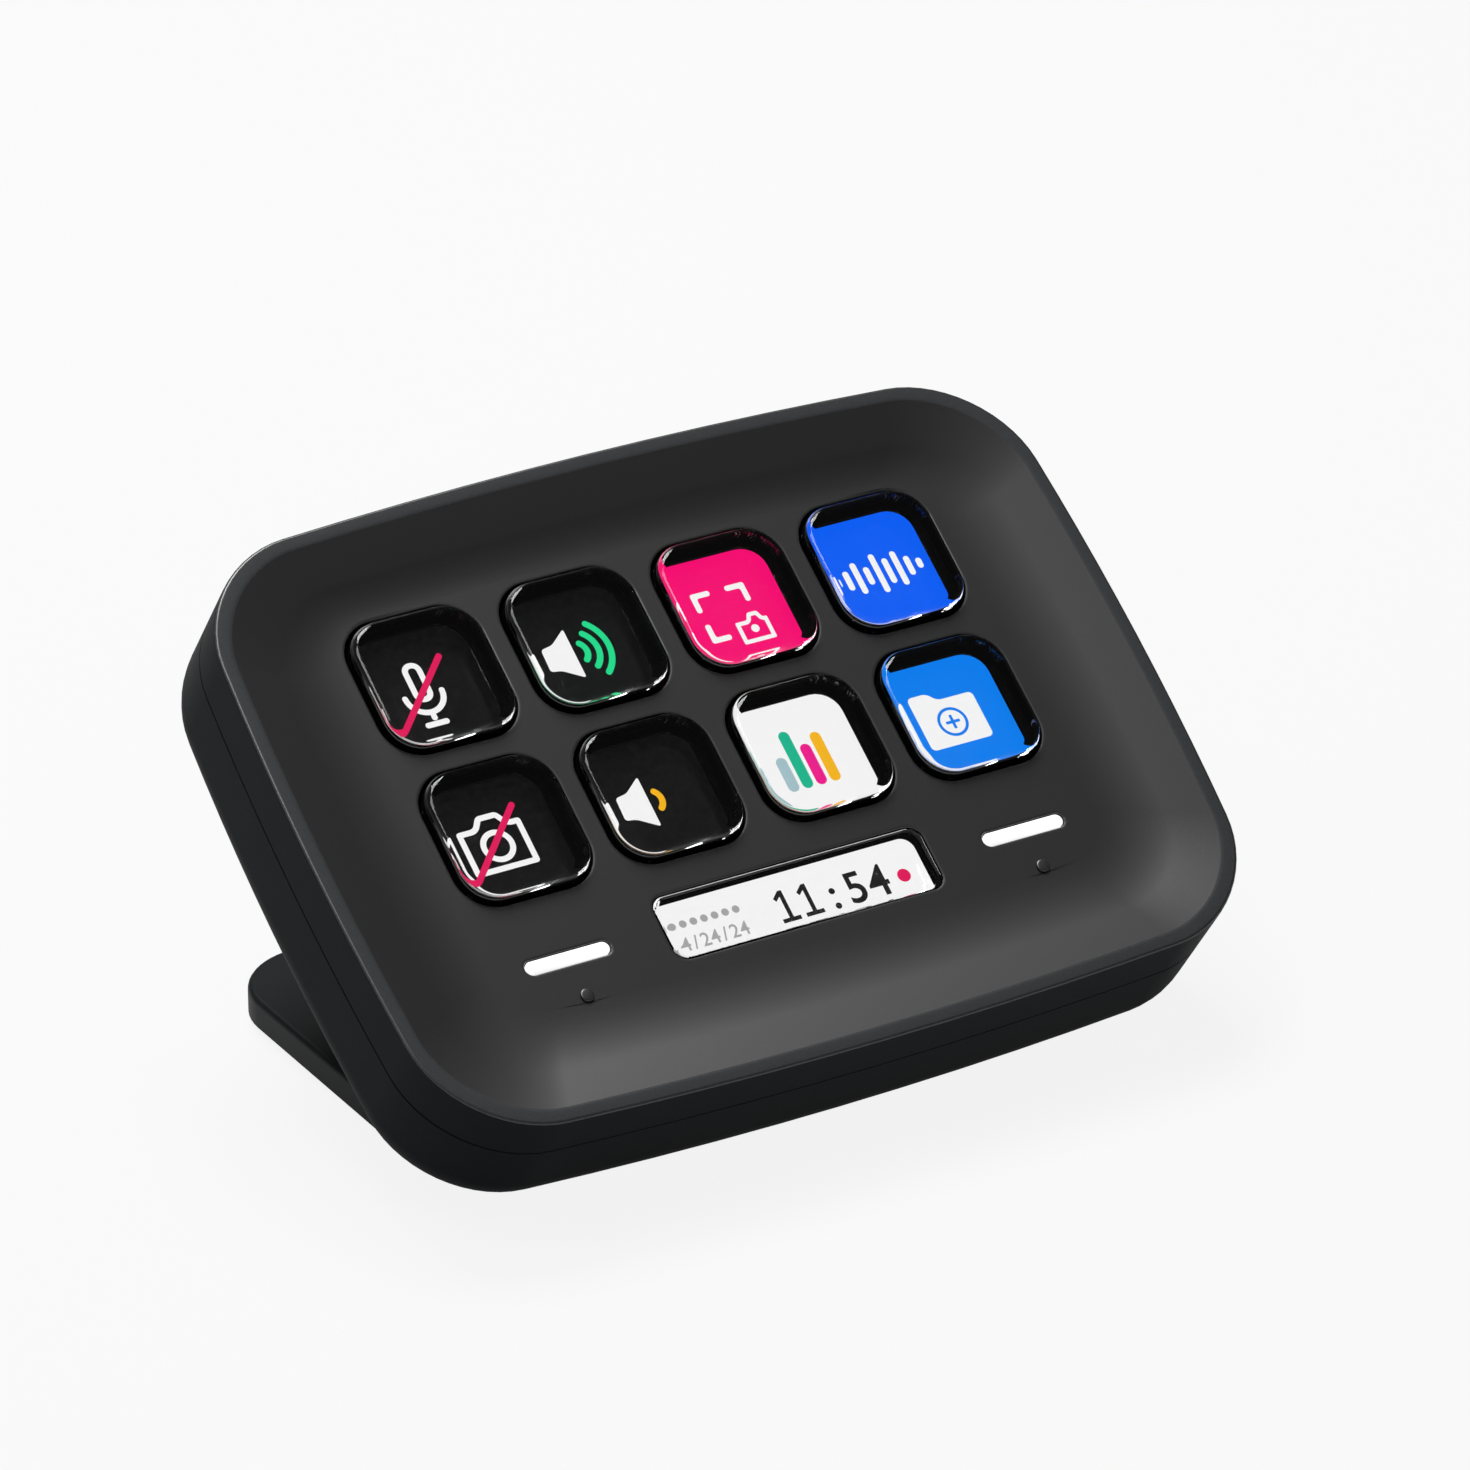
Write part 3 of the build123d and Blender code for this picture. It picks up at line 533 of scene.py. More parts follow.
green_board = circuit_board("green_solder_mask", "#0d2318", "#17402b", 1.6)
finish_node("main_board", green_board)
chip_epoxy = moulded_plastic("chip_epoxy", "#161617", 0.6, 0.12)
for node_name in ("processor", "memory_chip", "voltage_regulator"):
    finish_node(node_name, chip_epoxy)
finish_node("display_connector", moulded_plastic("ivory_nylon", "#d9d3bf", 0.5, 0.2))
plated_steel = steel("plated_steel", "#b4b5b8", 0.3, 0.3)
dress(smooth_copy("usb_c_socket", "folded_socket"), "case", plated_steel)
black_steel = steel("blackened_steel", "#4a4a4d", 0.4, 0.15)
finish_node("board_screws", black_steel)

# ---------------------------------------------------------------- inner frame and backlight
# A black ABS frame clamps the display to the front shell with four screws. A white tray behind the
# display spreads its light.

finish_node("inner_frame", moulded_plastic("inner_abs", "#18181a", 0.5, 0.35))
finish_node("frame_screws", black_steel)
finish_node("backlight_tray", moulded_plastic("white_tray", "#e6e6e8", 0.55, 0.3))

# ---------------------------------------------------------------- display
# One colour LCD under black glass, which mirrors sharply through a few smears, lies behind all the
# keys and the window. Its amber polyimide flex turns under the tray to the main board, and shows its
# copper tracks as fine dark lines.

# real tracks are too fine to show: with this much of the film to each radian of the wave, and 20
# radians to a unit at a scale of 1, one comes every 3.1 mm
FLEX_RADIAN, WAVE_RADIANS = 0.5, 20

black_glass = uneven_gloss("black_glass", {"Base Color": linear("#040405")}, 60.0, 3.0, 0.04, 0.12)
finish_node("display_panel", black_glass)

flex_film, film_surface = new_material("amber_polyimide", {"Roughness": 0.25})
tracks = add_node(flex_film, "ShaderNodeTexWave", {
    "Scale": 1000 / FLEX_RADIAN / WAVE_RADIANS, "bands_direction": 'X'},
    {"Vector": add_node(flex_film, "ShaderNodeTexCoord").outputs["Object"]})
amber = add_node(flex_film, "ShaderNodeValToRGB", None, {"Fac": tracks.outputs["Fac"]})
amber.color_ramp.elements[0].color = linear("#4a2408")
amber.color_ramp.elements[1].color = linear("#9a5414")
flex_film.node_tree.links.new(amber.outputs["Color"], film_surface.inputs["Base Color"])
finish_node("display_flex", flex_film)

# ---------------------------------------------------------------- pictures on the display
# What the display shows, as lit films on its glass: a tile under each key, plain signs and their
# accents over the tiles, and a clock with numbers only. The films glow, so they keep their colours.

PITCH_ACROSS, PITCH_UP = 19.45, 19.76
KEY_PLACES = [(PITCH_ACROSS * (column - 1.5), PITCH_UP * (0.5 - row))
              for row in (0, 1) for column in range(4)]
GLASS, TILE_LEVEL, SIGN_LEVEL, ACCENT_LEVEL = -4.4, -4.38, -4.36, -4.34
TILE, TILE_CORNER = 14.8, 2.9
LINE, ROUND, PIXEL_NOISE = 0.68, 0.3, 1600.0
THICK_LINE, CHART_BAR = 0.75, 1.35
SOUND_PITCH, SOUND_MIDDLE = 1.35, 3.6  # of the sound wave's lines, and which of them would be in the middle
PANEL_LEFT, PANEL_RIGHT, PANEL_LOW, PANEL_HIGH = -18.9, 18.8, -30.7, -22.0
MICROPHONE, SPEAKER, CAMERA_KEY, SOUND = 0, 1, 2, 3
COVERED_CAMERA, QUIET_SPEAKER, CHART, FOLDER = 4, 5, 6, 7


def add_shape(place, points, corner=ROUND, line=None):
    """Draws a flat shape with round corners: filled, or as a line of even width along its edge."""
    bpy.ops.mesh.select_all(action='DESELECT')
    mesh = bmesh.from_edit_mesh(bpy.context.object.data)
    corners = [mesh.verts.new((place[0] + across, place[1] + up, 0)) for across, up in points]
    mesh.faces.new(corners).select_set(True)
    bmesh.update_edit_mesh(bpy.context.object.data)
    bpy.ops.mesh.bevel(offset=corner, segments=6, affect='VERTICES')
    if line:
        bpy.ops.mesh.inset(thickness=line)
        bpy.ops.mesh.delete(type='ONLY_FACE')


def add_square(place, left, low, right, high, corner=ROUND, line=None):
    """Draws an upright rectangle."""
    add_shape(place, [(left, low), (right, low), (right, high), (left, high)], corner, line)


def add_bar(place, start, end, width=LINE):
    """Draws a straight line with round ends."""
    start, end = Vector(start), Vector(end)
    along = (end - start).normalized() * width / 2
    aside = along.orthogonal()
    corners = [start - along - aside, end + along - aside, end + along + aside, start - along + aside]
    add_shape(place, corners, 0.49 * width)


def add_arc(place, middle, radius, first, last, width=LINE):
    """Draws a curved line with round ends, from one angle to another, by sweeping its first edge."""
    bpy.ops.mesh.select_all(action='DESELECT')
    mesh = bmesh.from_edit_mesh(bpy.context.object.data)
    centre = Vector((place[0] + middle[0], place[1] + middle[1], 0))
    ends = []
    for angle in (first, last):
        turn = Matrix.Rotation(math.radians(angle), 3, 'Z')
        ends.append([centre + turn @ Vector((radius + side * width / 2, 0, 0)) for side in (-1, 1)])
    mesh.edges.new([mesh.verts.new(point) for point in ends[0]]).select_set(True)
    bmesh.update_edit_mesh(bpy.context.object.data)
    bpy.ops.mesh.spin(steps=16, angle=math.radians(first - last), center=centre, axis=(0, 0, 1))
    for points, angle, way in ((ends[1], last, width / 2), (ends[0], first, -width / 2)):
        # each end runs on straight for half the line's width, which its round corners take up
        bpy.ops.mesh.select_all(action='DESELECT')
        mesh = bmesh.from_edit_mesh(bpy.context.object.data)
        for edge in mesh.edges:
            if all(min((vertex.co - point).length for point in points) < 1e-3 for vertex in edge.verts):
                edge.select_set(True)
        bmesh.update_edit_mesh(bpy.context.object.data)
        onwards = Matrix.Rotation(math.radians(angle), 3, 'Z') @ Vector((0, way, 0))
        bpy.ops.mesh.extrude_region_move(TRANSFORM_OT_translate={"value": onwards})
        bpy.ops.mesh.bevel(offset=0.49 * width, segments=6, affect='VERTICES')


def add_disc(place, middle, radius):
    """Draws a filled round."""
    add_circle((place[0] + middle[0], place[1] + middle[1]), radius, 0)
    bpy.ops.mesh.edge_face_add()


def add_ring(place, middle, radius, width=LINE):
    """Draws a round line."""
    centre = (place[0] + middle[0], place[1] + middle[1])
    fill(add_circle(centre, radius + width / 2, 0), add_circle(centre, radius - width / 2, 0))


def lit_film(name, hex_colour, unevenness=0.02):
    """A lit colour: the pixels glow evenly, or unevenly where they are nearly off."""
    material, _ = new_material(name, {
        "Base Color": linear("#000000"), "Roughness": 0.3, "Emission Strength": 1.0})
    mottle(material, "Emission Color", PIXEL_NOISE, 4.0, shades(hex_colour, unevenness), (0.4, 0.75))
    return material


def show_film(piece, material):
    """Puts a picture film, still in edit mode, in its place on the display."""
    end_drawing(piece, on_face)
    dress(piece, "case", material)


def end_film(piece, low, high, material):
    """Gives all that is drawn the thickness of a film, between two heights, and shows it."""
    bpy.ops.mesh.select_all(action='SELECT')
    bpy.ops.transform.translate(value=(0, 0, low))
    bpy.ops.mesh.extrude_region_move(TRANSFORM_OT_translate={"value": (0, 0, high - low)})
    show_film(piece, material)


def add_speaker(place):
    """The sign of a loudspeaker: a box with a horn."""
    add_shape(place, [(-4.2, -1.55), (-2.9, -1.75), (-0.45, -3.3), (-0.45, 3.2), (-2.6, 1.6),
                      (-4.1, 1.35)], 0.35)


half = TILE / 2
for name, hex_colour, unevenness, keys in (
        ("black_tiles", "#0a0a0b", 0.9, (MICROPHONE, SPEAKER, COVERED_CAMERA, QUIET_SPEAKER)),
        ("pink_tile", "#fd0074", 0.02, (CAMERA_KEY,)),
        ("blue_tile", "#0060fb", 0.02, (SOUND,)),
        ("sky_tile", "#0080f4", 0.02, (FOLDER,))):
    film = start_drawing(name)
    for key in keys:
        add_square(KEY_PLACES[key], -half, -half, half, half, TILE_CORNER)
    end_film(film, GLASS, TILE_LEVEL, lit_film(name, hex_colour, unevenness))

white_film = lit_film("white_pixels", "#fbfbfb", 0.01)
film = start_drawing("white_tiles")
add_square(KEY_PLACES[CHART], -half, -half, half, half, TILE_CORNER)
add_square((0, 0), PANEL_LEFT, PANEL_LOW, PANEL_RIGHT, PANEL_HIGH, 0.6)
end_film(film, GLASS, TILE_LEVEL, white_film)

film = start_drawing("white_signs")
place = KEY_PLACES[MICROPHONE]
add_square(place, -1.5, -1.2, 0.9, 3.9, 1.15, LINE)
add_arc(place, (-0.3, -0.25), 2.3, 180, 360)
add_bar(place, (-0.3, -3.0), (-0.3, -3.3))
add_bar(place, (-1.45, -4.05), (0.85, -4.05))
for place in (KEY_PLACES[SPEAKER], KEY_PLACES[QUIET_SPEAKER]):
    add_speaker(place)
place = KEY_PLACES[CAMERA_KEY]
for side, end in ((-1, 1), (1, 1), (-1, -1)):
    # a corner of the picture's frame
    arm = [(0, 0), (-2.5, 0), (-2.5, -LINE), (-LINE, -LINE), (-LINE, -2.5), (0, -2.5)]
    points = [(side * (3.5 + across), end * (3.3 + up)) for across, up in arm]
    add_shape(place, points, 0.3)
add_shape(place, [(0.15, -4.4), (4.3, -4.4), (4.3, -1.5), (3.75, -1.5), (3.35, -0.6), (2.1, -0.6),
                  (1.7, -1.5), (0.15, -1.5)], 0.2, 0.5)
add_disc(place, (2.25, -2.7), 0.5)
place = KEY_PLACES[SOUND]
for step, reach in enumerate((0.25, 0.9, 1.7, 0.8, 2.2, 1.3, 1.9, 0.9, 0.3)):
    across = SOUND_PITCH * (step - SOUND_MIDDLE)
    add_bar(place, (across, -reach), (across, reach), THICK_LINE)
place = KEY_PLACES[COVERED_CAMERA]
add_shape(place, [(-4.4, -3.5), (3.6, -3.5), (3.6, 2.3), (2.1, 2.3), (1.2, 3.65), (-1.3, 3.65), (-2.2, 2.3),
                  (-4.4, 2.3)], 0.4, LINE)
add_ring(place, (-0.3, -0.4), 1.7)
place = KEY_PLACES[FOLDER]
add_shape(place, [(-4.0, -3.3), (4.1, -3.3), (4.1, 2.65), (-0.5, 2.65), (-1.4, 3.75), (-4.0, 3.75)], 0.6)
end_film(film, TILE_LEVEL, SIGN_LEVEL, white_film)

film = start_drawing("crimson_accents")
add_bar(KEY_PLACES[MICROPHONE], (3.5, 3.8), (-4.6, -4.3), THICK_LINE)
add_bar(KEY_PLACES[COVERED_CAMERA], (3.4, 3.9), (-4.5, -4.1), THICK_LINE)
add_disc((0, 0), (14.4, -26.7), 0.8)
end_film(film, TILE_LEVEL, ACCENT_LEVEL, lit_film("crimson_pixels", "#e5155b"))

film = start_drawing("green_waves")
for radius in (1.4, 2.8, 4.2):
    add_arc(KEY_PLACES[SPEAKER], (-0.3, -0.1), radius, -50, 50, THICK_LINE)
end_film(film, TILE_LEVEL, SIGN_LEVEL, lit_film("green_pixels", "#1ee08f"))

film = start_drawing("yellow_wave")
add_arc(KEY_PLACES[QUIET_SPEAKER], (-0.3, -0.1), 1.4, -50, 50, THICK_LINE)
add_bar(KEY_PLACES[CHART], (2.7, -2.9), (2.7, 2.2), CHART_BAR)
end_film(film, TILE_LEVEL, SIGN_LEVEL, lit_film("yellow_pixels", "#fbb916"))

for name, hex_colour, across, reach in (
        ("pale_bar", "#a6c4cc", -2.7, 0.2),
        ("teal_bar", "#14b88f", -0.9, 3.2),
        ("pink_bar", "#f20f8e", 0.9, 1.1)):
    film = start_drawing(name)
    add_bar(KEY_PLACES[CHART], (across, -2.9), (across, reach), CHART_BAR)
    end_film(film, TILE_LEVEL, SIGN_LEVEL, lit_film(name, hex_colour))

film = start_drawing("folder_mark")
add_ring(KEY_PLACES[FOLDER], (0.1, -0.4), 1.7, 0.36)
add_shape(KEY_PLACES[FOLDER], [
    (-0.08, -1.3), (0.28, -1.3), (0.28, -0.58), (1.0, -0.58), (1.0, -0.22), (0.28, -0.22), (0.28, 0.5),
    (-0.08, 0.5), (-0.08, -0.22), (-0.8, -0.22), (-0.8, -0.58), (-0.08, -0.58)], 0.08)
end_film(film, SIGN_LEVEL, ACCENT_LEVEL, bpy.data.materials["sky_tile"])

NUMBER_HEIGHT = 0.729  # of the type size
BASE_LINE, CLOCK_HEIGHT = -28.3, 3.9
FIRST_DAY, DAY_PITCH, DAY_DOT = (-14.7, -25.1), 1.35, 0.45
DATE_GREY, CLOCK_GREY = "#a9a9ab", "#1a1a1c"


def add_numbers(name, numbers, first, pitch, height, bold, hex_colour):
    """A row of numbers at an even pitch, as flat type that is made a mesh and joined."""
    glyphs = []
    for step, number in enumerate(numbers):
        bpy.ops.object.select_all(action='DESELECT')
        bpy.ops.object.text_add()
        glyph = bpy.context.object
        glyph.data.body = number
        glyph.data.size = height / NUMBER_HEIGHT
        glyph.data.align_x = 'CENTER'
        glyph.data.offset = bold
        glyph.data.extrude = (SIGN_LEVEL - TILE_LEVEL) / 2
        glyph.location = (first[0] + step * pitch, first[1], (SIGN_LEVEL + TILE_LEVEL) / 2)
        bpy.ops.object.convert(target='MESH')
        bpy.ops.object.transform_apply(location=True, rotation=True, scale=True)
        glyphs.append(glyph)
    bpy.ops.object.select_all(action='DESELECT')
    for glyph in glyphs:
        glyph.select_set(True)
    bpy.context.view_layer.objects.active = glyphs[0]
    bpy.ops.object.join()
    row = bpy.context.object
    row.name = name
    bpy.ops.object.mode_set(mode='EDIT')
    show_film(row, lit_film(name, hex_colour))


film = start_drawing("clock_ones")
for across in (-0.75, 2.25):
    # a one with a foot, so that the clock keeps an even pitch
    add_shape((across, BASE_LINE), [
        (-1.15, 0), (1.15, 0), (1.15, 0.5), (0.29, 0.5), (0.29, CLOCK_HEIGHT), (-0.2, CLOCK_HEIGHT),
        (-1.1, 3.1), (-0.84, 2.7), (-0.23, 3.2), (-0.23, 0.5), (-1.15, 0.5)], 0.06)
end_film(film, TILE_LEVEL, SIGN_LEVEL, lit_film("dark_pixels", CLOCK_GREY))
add_numbers("clock_numbers", ":54", (5.25, BASE_LINE), 2.95, CLOCK_HEIGHT, 0.06, CLOCK_GREY)
add_numbers("date_numbers", "4/24/24", (-14.1, BASE_LINE), 1.24, 1.7, 0.02, DATE_GREY)
film = start_drawing("day_dots")
for day in range(7):
    add_disc(FIRST_DAY, (DAY_PITCH * day, 0), DAY_DOT)
end_film(film, TILE_LEVEL, SIGN_LEVEL, lit_film("grey_pixels", DATE_GREY))

# ---------------------------------------------------------------- contact board and touch lights' LEDs
# A thin black board round the key windows, which the membrane presses on, and three LEDs under each
# touch light, capped with phosphor that looks a chalky yellow.

finish_node("contact_board", circuit_board("black_solder_mask", "#101112", "#1d1f20", 1.6))
led_phosphor, _ = new_material("led_phosphor", {
    "Roughness": 0.4, "Emission Color": linear("#fff6d8"), "Emission Strength": 1.0})
mottle(led_phosphor, "Base Color", 6000.0, 2.0, (linear("#d8c64a"), linear("#f2e98a")))
finish_node("touch_leds", led_phosphor)

# ---------------------------------------------------------------- key membrane
# One moulded silicone sheet on the contact board, under all the key frames, which it springs back
# up. Its skin is dry and matt, so what little light reaches it scatters.

silicone = moulded_plastic("black_silicone", "#161618", 0.7, 0.5)
dress(smooth_copy("key_membrane", "silicone_web"), "case", silicone)

# ---------------------------------------------------------------- key frames
# A black polycarbonate skirt round each cap, from a polished mould, so it shines almost as the cap
# does. A flange round its foot stops the key under the plate.

black_gloss = uneven_gloss("black_polycarbonate", {"Base Color": linear("#08080a")}, 400.0, 2.0, 0.1, 0.22)
for number in range(1, 9):
    dress(smooth_copy(f"key_frame_{number}", f"black_frame_{number}"), f"key_{number}", black_gloss)

# ---------------------------------------------------------------- key caps
# Cast acrylic blocks, clear as glass, that bend the picture under them at their polished round edge.
# Their sides and the margin underneath are printed a dull black, which makes the block look solid
# from the side, before they are pressed into the frames.

CAP_WIDTH, CAP_HEIGHT, CAP_CORNER = 16.1, 16.4, 4.2
CAP_TOP, CAP_STEP, CAP_BOTTOM = 1.4, -0.25, -2.8
CAP_EDGE, SKIRT_WALL, PRINT_MARGIN = 1.0, 0.35, 0.9


def copy_to(piece, name, step_across, step_up):
    """A copy of a finished piece with its own mesh, moved over the key face."""
    copy = bpy.data.objects.new(name, piece.data.copy())
    bpy.context.scene.collection.objects.link(copy)
    copy.data.transform(Matrix.Translation((face_x * step_across + face_y * step_up) / 1000))
    return copy


def print_sides(piece, low, high):
    """Gives the faces between two heights, all but the big one, the second material as their print."""
    biggest = max(piece.data.polygons, key=lambda face: face.area)
    for face in piece.data.polygons:
        if face.area < 0.5 * biggest.area and low < (face.center - face_origin).dot(face_z) * 1000 < high:
            face.material_index = 1


key_cap = start_drawing("clear_cap_1")
add_block(KEY_PLACES[0], CAP_WIDTH, CAP_HEIGHT, CAP_STEP, CAP_TOP)
select_parts("edges", is_upright)
bpy.ops.mesh.bevel(offset=CAP_CORNER, segments=20)
bpy.ops.mesh.select_linked()
select_parts("faces", lambda face: face.normal.z > 0.9)
bpy.ops.mesh.region_to_loop()
bpy.ops.mesh.bevel(offset=CAP_EDGE, segments=10)
bpy.ops.mesh.select_linked()
select_parts("faces", lambda face: face.normal.z < -0.9)
bpy.ops.mesh.inset(thickness=SKIRT_WALL)
bpy.ops.mesh.extrude_region_move(TRANSFORM_OT_translate={"value": (0, 0, CAP_BOTTOM - CAP_STEP)})
bpy.ops.mesh.inset(thickness=PRINT_MARGIN)
end_drawing(key_cap, on_face)

clear_acrylic, _ = new_material("clear_acrylic", {
    "Base Color": linear("#ffffff"), "Roughness": 0.0, "IOR": 1.49, "Transmission Weight": 1.0})
side_print, _ = new_material("black_print", {
    "Base Color": linear("#050506"), "Roughness": 0.6, "Specular IOR Level": 0.05})
for number, (across, up) in enumerate(KEY_PLACES, start=1):
    step = across - KEY_PLACES[0][0], up - KEY_PLACES[0][1]
    cap = key_cap if number == 1 else copy_to(key_cap, f"clear_cap_{number}", *step)
    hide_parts(f"key_cap_{number}")
    dress(cap, f"key_{number}", clear_acrylic, side_print)
    print_sides(cap, CAP_BOTTOM - SLACK, CAP_TOP - CAP_EDGE - SLACK)

# ---------------------------------------------------------------- window and touch lights
# A clear acrylic window lies flush in the face, printed black round its sides, and glued under the
# plate by its flange. The touch lights are bars of milky polycarbonate, which glow an even white,
# because they are lit from below.

WINDOW_PRINT_LOW, WINDOW_PRINT_HIGH = -4.2, -0.3

window_glass = smooth_copy("window_lens", "window_glass")
dress(window_glass, "case", clear_acrylic, side_print)
print_sides(window_glass, WINDOW_PRINT_LOW, WINDOW_PRINT_HIGH)

milky, _ = new_material("milky_polycarbonate", {
    "Base Color": linear("#e8e8e8"), "Roughness": 0.35, "Emission Strength": 0.9})
mottle(milky, "Emission Color", 500.0, 2.0, (linear("#f4f4f4"), linear("#ffffff")))
for side in ("left", "right"):
    dress(smooth_copy(f"touch_light_{side}", f"milky_bar_{side}"), "case", milky)

# ---------------------------------------------------------------- front shell
# The dished half of the case: one ABS moulding, with a raised flat rim and slopes that run down to
# the key plate. The dish has a clear satin lacquer, which gives its slopes a broad soft gleam.

RIM_EDGE, RIM_BAND, RIM_SOFT = 0.35, 1.6, 0.2
SLOPE_END, FLOOR_INSET, FLOOR_INSET_HIGH, FLOOR_CORNER = 6.5, 14.0, 11.5, 6.0
BLEND_STEPS = 8
PLATE_BACK, LIP_END, LIP_OUT = -1.8, -6.0, 1.1
KEY_OPENING, KEY_OPENING_CORNER = (17.0, 17.3), 4.65
WINDOW_MIDDLE, WINDOW_OPENING, WINDOW_CORNER = (0, -26.35), (34.6, 8.1), 1.7
TOUCH_PLACES, TOUCH_OPENING = [(-29.3, -26.4), (29.3, -26.4)], (10.6, 1.8)
OPENING_EDGE, FLAT_RING = 0.2, 0.2
PIP_BELOW, PIP_RADIUS, PIP_RISE, PIP_EDGE = 4.9, 0.8, 0.3, 0.2
FRAME_SCREWS = [(-46, -20), (46, -20), (-46, 5), (46, 5)]
THREAD_HOLE, THREAD_END, FRAME_SEAT = 1.02, -2.8, -7.8


def add_dish_outline(inset):
    """Draws the dish at an inset from the rim: straight slope, round blend, flat floor."""
    blend = FLOOR_INSET - SLOPE_END
    slope = RIM / (blend / 2 + SLOPE_END - RIM_BAND)
    into_blend = max(inset - SLOPE_END, 0) / blend
    if into_blend:
        level = slope * blend * (1 - into_blend) ** 2 / 2
    else:
        level = min(slope * (blend / 2 + SLOPE_END - inset), RIM)
    high_inset = inset - into_blend * (FLOOR_INSET - FLOOR_INSET_HIGH)
    into_dish = inset / FLOOR_INSET
    corner = CORNER_RADIUS + (FLOOR_CORNER - CORNER_RADIUS) * into_dish
    return add_outline(inset, level, corner, 1 - into_dish / 2, high_inset)


front_shell = start_drawing("front_moulding")
rim_round = [add_outline(inset, RIM - RIM_EDGE + rise) for inset, rise in round_over(RIM_EDGE, 4)]
dish = [add_dish_outline(inset) for inset in (RIM_BAND - RIM_SOFT, RIM_BAND + RIM_SOFT, SLOPE_END)]
dish += [add_dish_outline(SLOPE_END + (FLOOR_INSET - SLOPE_END) * step / BLEND_STEPS)
         for step in range(1, BLEND_STEPS + 1)]
hollow = [add_outline(WALL, PLATE_BACK), add_outline(WALL, LIP_END)]
lip = [add_outline(LIP_OUT, LIP_END), add_outline(LIP_OUT, PARTING)]
bridge(*hollow, *lip, add_outline(PARTING_CHAMFER, PARTING), add_outline(0, PARTING + PARTING_CHAMFER),
       *rim_round, *dish)

floor_loops, plate_loops = [dish[-1]], [hollow[0]]
openings = [(place, KEY_OPENING, KEY_OPENING_CORNER) for place in KEY_PLACES]
openings.append((WINDOW_MIDDLE, WINDOW_OPENING, WINDOW_CORNER))
openings += [(place, TOUCH_OPENING, TOUCH_OPENING[1] / 2) for place in TOUCH_PLACES]
for place, (width, height), corner in openings:
    loops = [add_loop(place, width + 2 * inset, height + 2 * inset, corner + inset, rise - OPENING_EDGE)
             for inset, rise in reversed(round_over(OPENING_EDGE, 3))]
    loops.append(add_loop(place, width, height, corner, PLATE_BACK))
    bridge(*loops)
    floor_loops.append(loops[0])
    plate_loops.append(loops[-1])
for across, up in TOUCH_PLACES:
    # a pip below each touch light, for a finger to find
    pip = [add_circle((across, up - PIP_BELOW), PIP_RADIUS, 0)]
    pip += [add_circle((across, up - PIP_BELOW), PIP_RADIUS - inset, PIP_RISE - PIP_EDGE + rise)
            for inset, rise in round_over(PIP_EDGE, 4)]
    bridge(*pip)
    fill(pip[-1])
    floor_loops.append(pip[0])
for places, end in ((SHELL_SCREWS, BOSS_MEET), (FRAME_SCREWS, FRAME_SEAT)):
    for place in places:
        boss = [add_circle(place, radius, level) for radius, level in (
            (BOSS_RADIUS, PLATE_BACK), (BOSS_RADIUS, end), (THREAD_HOLE, end), (THREAD_HOLE, THREAD_END))]
        bridge(*boss)
        fill(boss[-1])
        plate_loops.append(boss[0])
fill(*floor_loops)
fill(*plate_loops)
# a narrow inset along the key floor's edges keeps its shading flat up to them
bpy.ops.mesh.select_all(action='SELECT')
select_parts("faces", lambda face: abs(face.normal.z) > 0.999 and abs(face.calc_center_median().z) < 1e-4)
bpy.ops.mesh.inset(thickness=FLAT_RING)
end_drawing(front_shell, on_face)
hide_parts("front_shell")
front_abs = moulded_plastic("front_abs", "#191919", 0.39, 0.35, {
    "Specular IOR Level": 1.0, "Coat Weight": 1.0, "Coat IOR": 1.65, "Coat Roughness": 0.38})
# the rim is the dish's own plastic drawn in a paler colour: painted light on the flat rim
rim_abs_painted_paler = moulded_plastic("rim_abs_painted_paler", "#3b3d3f", 0.5, 0.35)
# the rim's round edge is drawn in a pale colour, as a painted highlight line round it
edge_highlight_abs = moulded_plastic("painted_edge_highlight", "#4a4c4e", 0.25, 0.35)
dress(front_shell, "case", front_abs, rear_abs, rim_abs_painted_paler, edge_highlight_abs)
for face in front_shell.data.polygons:
    # the outer walls are as the rear shell's; the flat rim is a little drier, and is painted paler than the
    # dish as painted light; and its edge is painted paler still, as a painted highlight line round it
    height = (face.center - face_origin).dot(face_z) * 1000
    tilt = face.normal.dot(face_z)
    if abs(tilt) < 0.3:
        face.material_index = 1
    elif height > RIM - 0.05 and tilt > 0.99:
        face.material_index = 2
    elif height > RIM - RIM_EDGE and tilt < 0.95:
        face.material_index = 3

# ---------------------------------------------------------------- case screws
# Blackened socket-head screws: four close the shells from the back, and four hold the stand from
# inside the rear shell.

for node_name in ("shell_screws", "stand_screws"):
    dress(smooth_copy(node_name, node_name.replace("_screws", "_bolts")), "case", black_steel)

# ---------------------------------------------------------------- camera, floor and light
# A long lens at the front left, a white sweep that keeps a faint shadow, and two large soft lamps
# high up, behind the keypad and to its left.

camera = bpy.data.objects.new("camera", bpy.data.cameras.new("camera"))
bpy.context.scene.collection.objects.link(camera)
camera.data.lens = 198.5
camera.data.sensor_width = 36
camera.location = (-0.41479, -0.68846, 0.43470)
camera.rotation_euler = Vector((0.46479, 0.76593, -0.44421)).to_track_quat('-Z', 'Y').to_euler()
bpy.context.scene.camera = camera

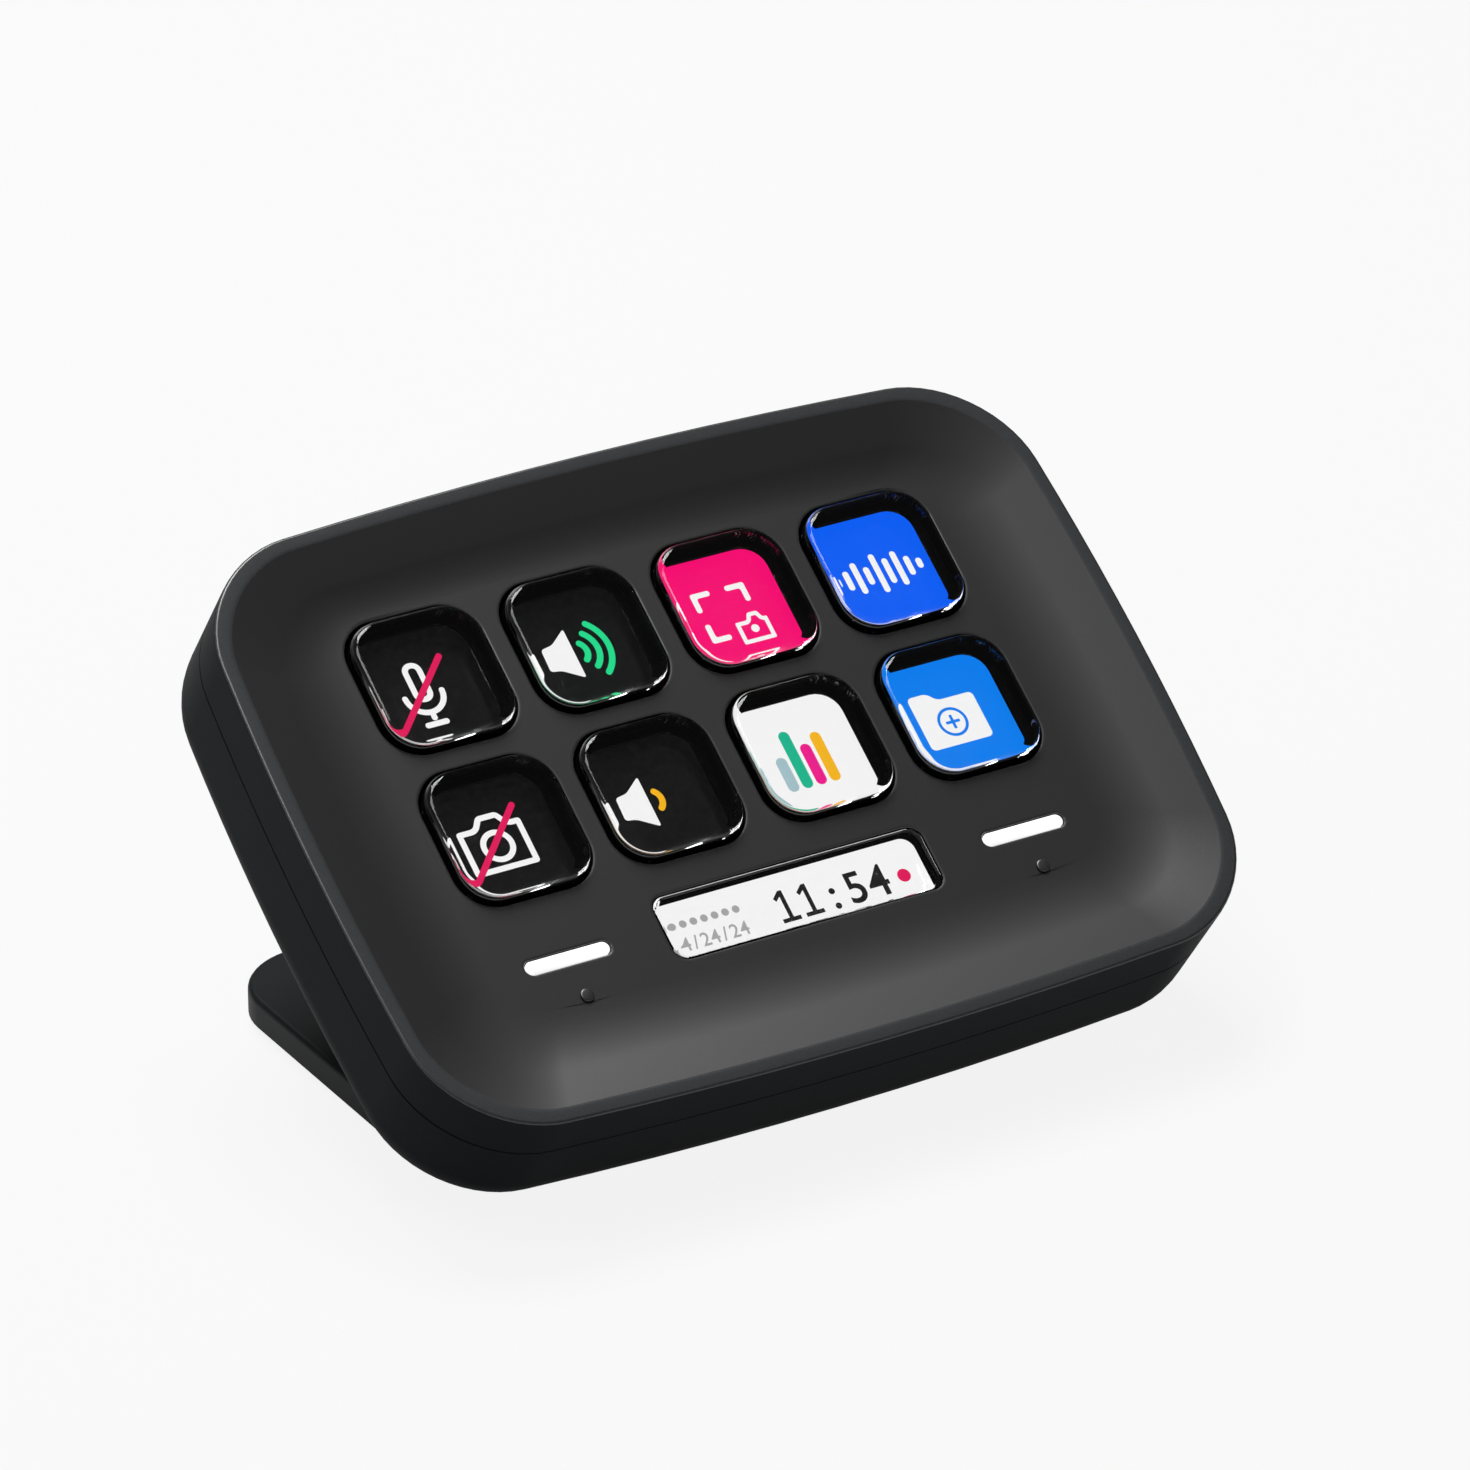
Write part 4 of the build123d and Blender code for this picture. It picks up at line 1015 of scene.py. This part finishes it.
bpy.ops.object.select_all(action='DESELECT')
bpy.ops.mesh.primitive_plane_add(size=6)
floor = bpy.context.object
floor.name = "floor"
floor_paper, paper_surface = new_material("floor_paper", {
    "Base Color": linear("#d8d8d8"), "Roughness": 0.9})
# seen by the camera, and in gloss and clear plastic, the sweep is white paper that the lamps wash out,
# with some of the object's soft shadow left on it
path = add_node(floor_paper, "ShaderNodeLightPath")
washed = None
for ray, share in (("Is Camera Ray", 0.88), ("Is Transmission Ray", 0.88), ("Is Glossy Ray", 0.3)):
    so_far = {2: washed.outputs["Value"]} if washed else {}
    washed = add_node(floor_paper, "ShaderNodeMath", {"operation": 'MULTIPLY_ADD'},
                      {0: path.outputs[ray], **so_far})
    washed.inputs[1].default_value, washed.inputs[2].default_value = share, 0
glow = add_node(floor_paper, "ShaderNodeEmission", {"Color": linear("#ffffff"), "Strength": 1.0})
mix = add_node(floor_paper, "ShaderNodeMixShader", None, {"Fac": washed.outputs["Value"]})
floor_paper.node_tree.links.new(paper_surface.outputs["BSDF"], mix.inputs[1])
floor_paper.node_tree.links.new(glow.outputs["Emission"], mix.inputs[2])
floor_paper.node_tree.links.new(mix.outputs["Shader"],
                                floor_paper.node_tree.nodes["Material Output"].inputs["Surface"])
floor.data.materials.append(floor_paper)


def add_lamp(name, place, target, size, power):
    """A soft lamp that faces a target."""
    light = bpy.data.lights.new(name, 'AREA')
    light.shape = 'RECTANGLE'
    light.size, light.size_y = size
    light.energy = power
    lamp = bpy.data.objects.new(name, light)
    bpy.context.scene.collection.objects.link(lamp)
    lamp.location = place
    lamp.rotation_euler = (Vector(target) - Vector(place)).to_track_quat('-Z', 'Y').to_euler()


middle = (0, 0, 0.03)
add_lamp("main_lamp", (0.06, 0.44, 1.0), middle, (0.5, 0.5), 8)
add_lamp("side_lamp", (-0.40, 0.0, 1.02), middle, (0.4, 0.5), 3.2)
world = bpy.data.worlds.new("room")
world.use_nodes = True
world.node_tree.nodes["Background"].inputs["Color"].default_value = linear("#ffffff")
world.node_tree.nodes["Background"].inputs["Strength"].default_value = 0.06
bpy.context.scene.world = world
bpy.context.scene.view_settings.view_transform = 'Standard'
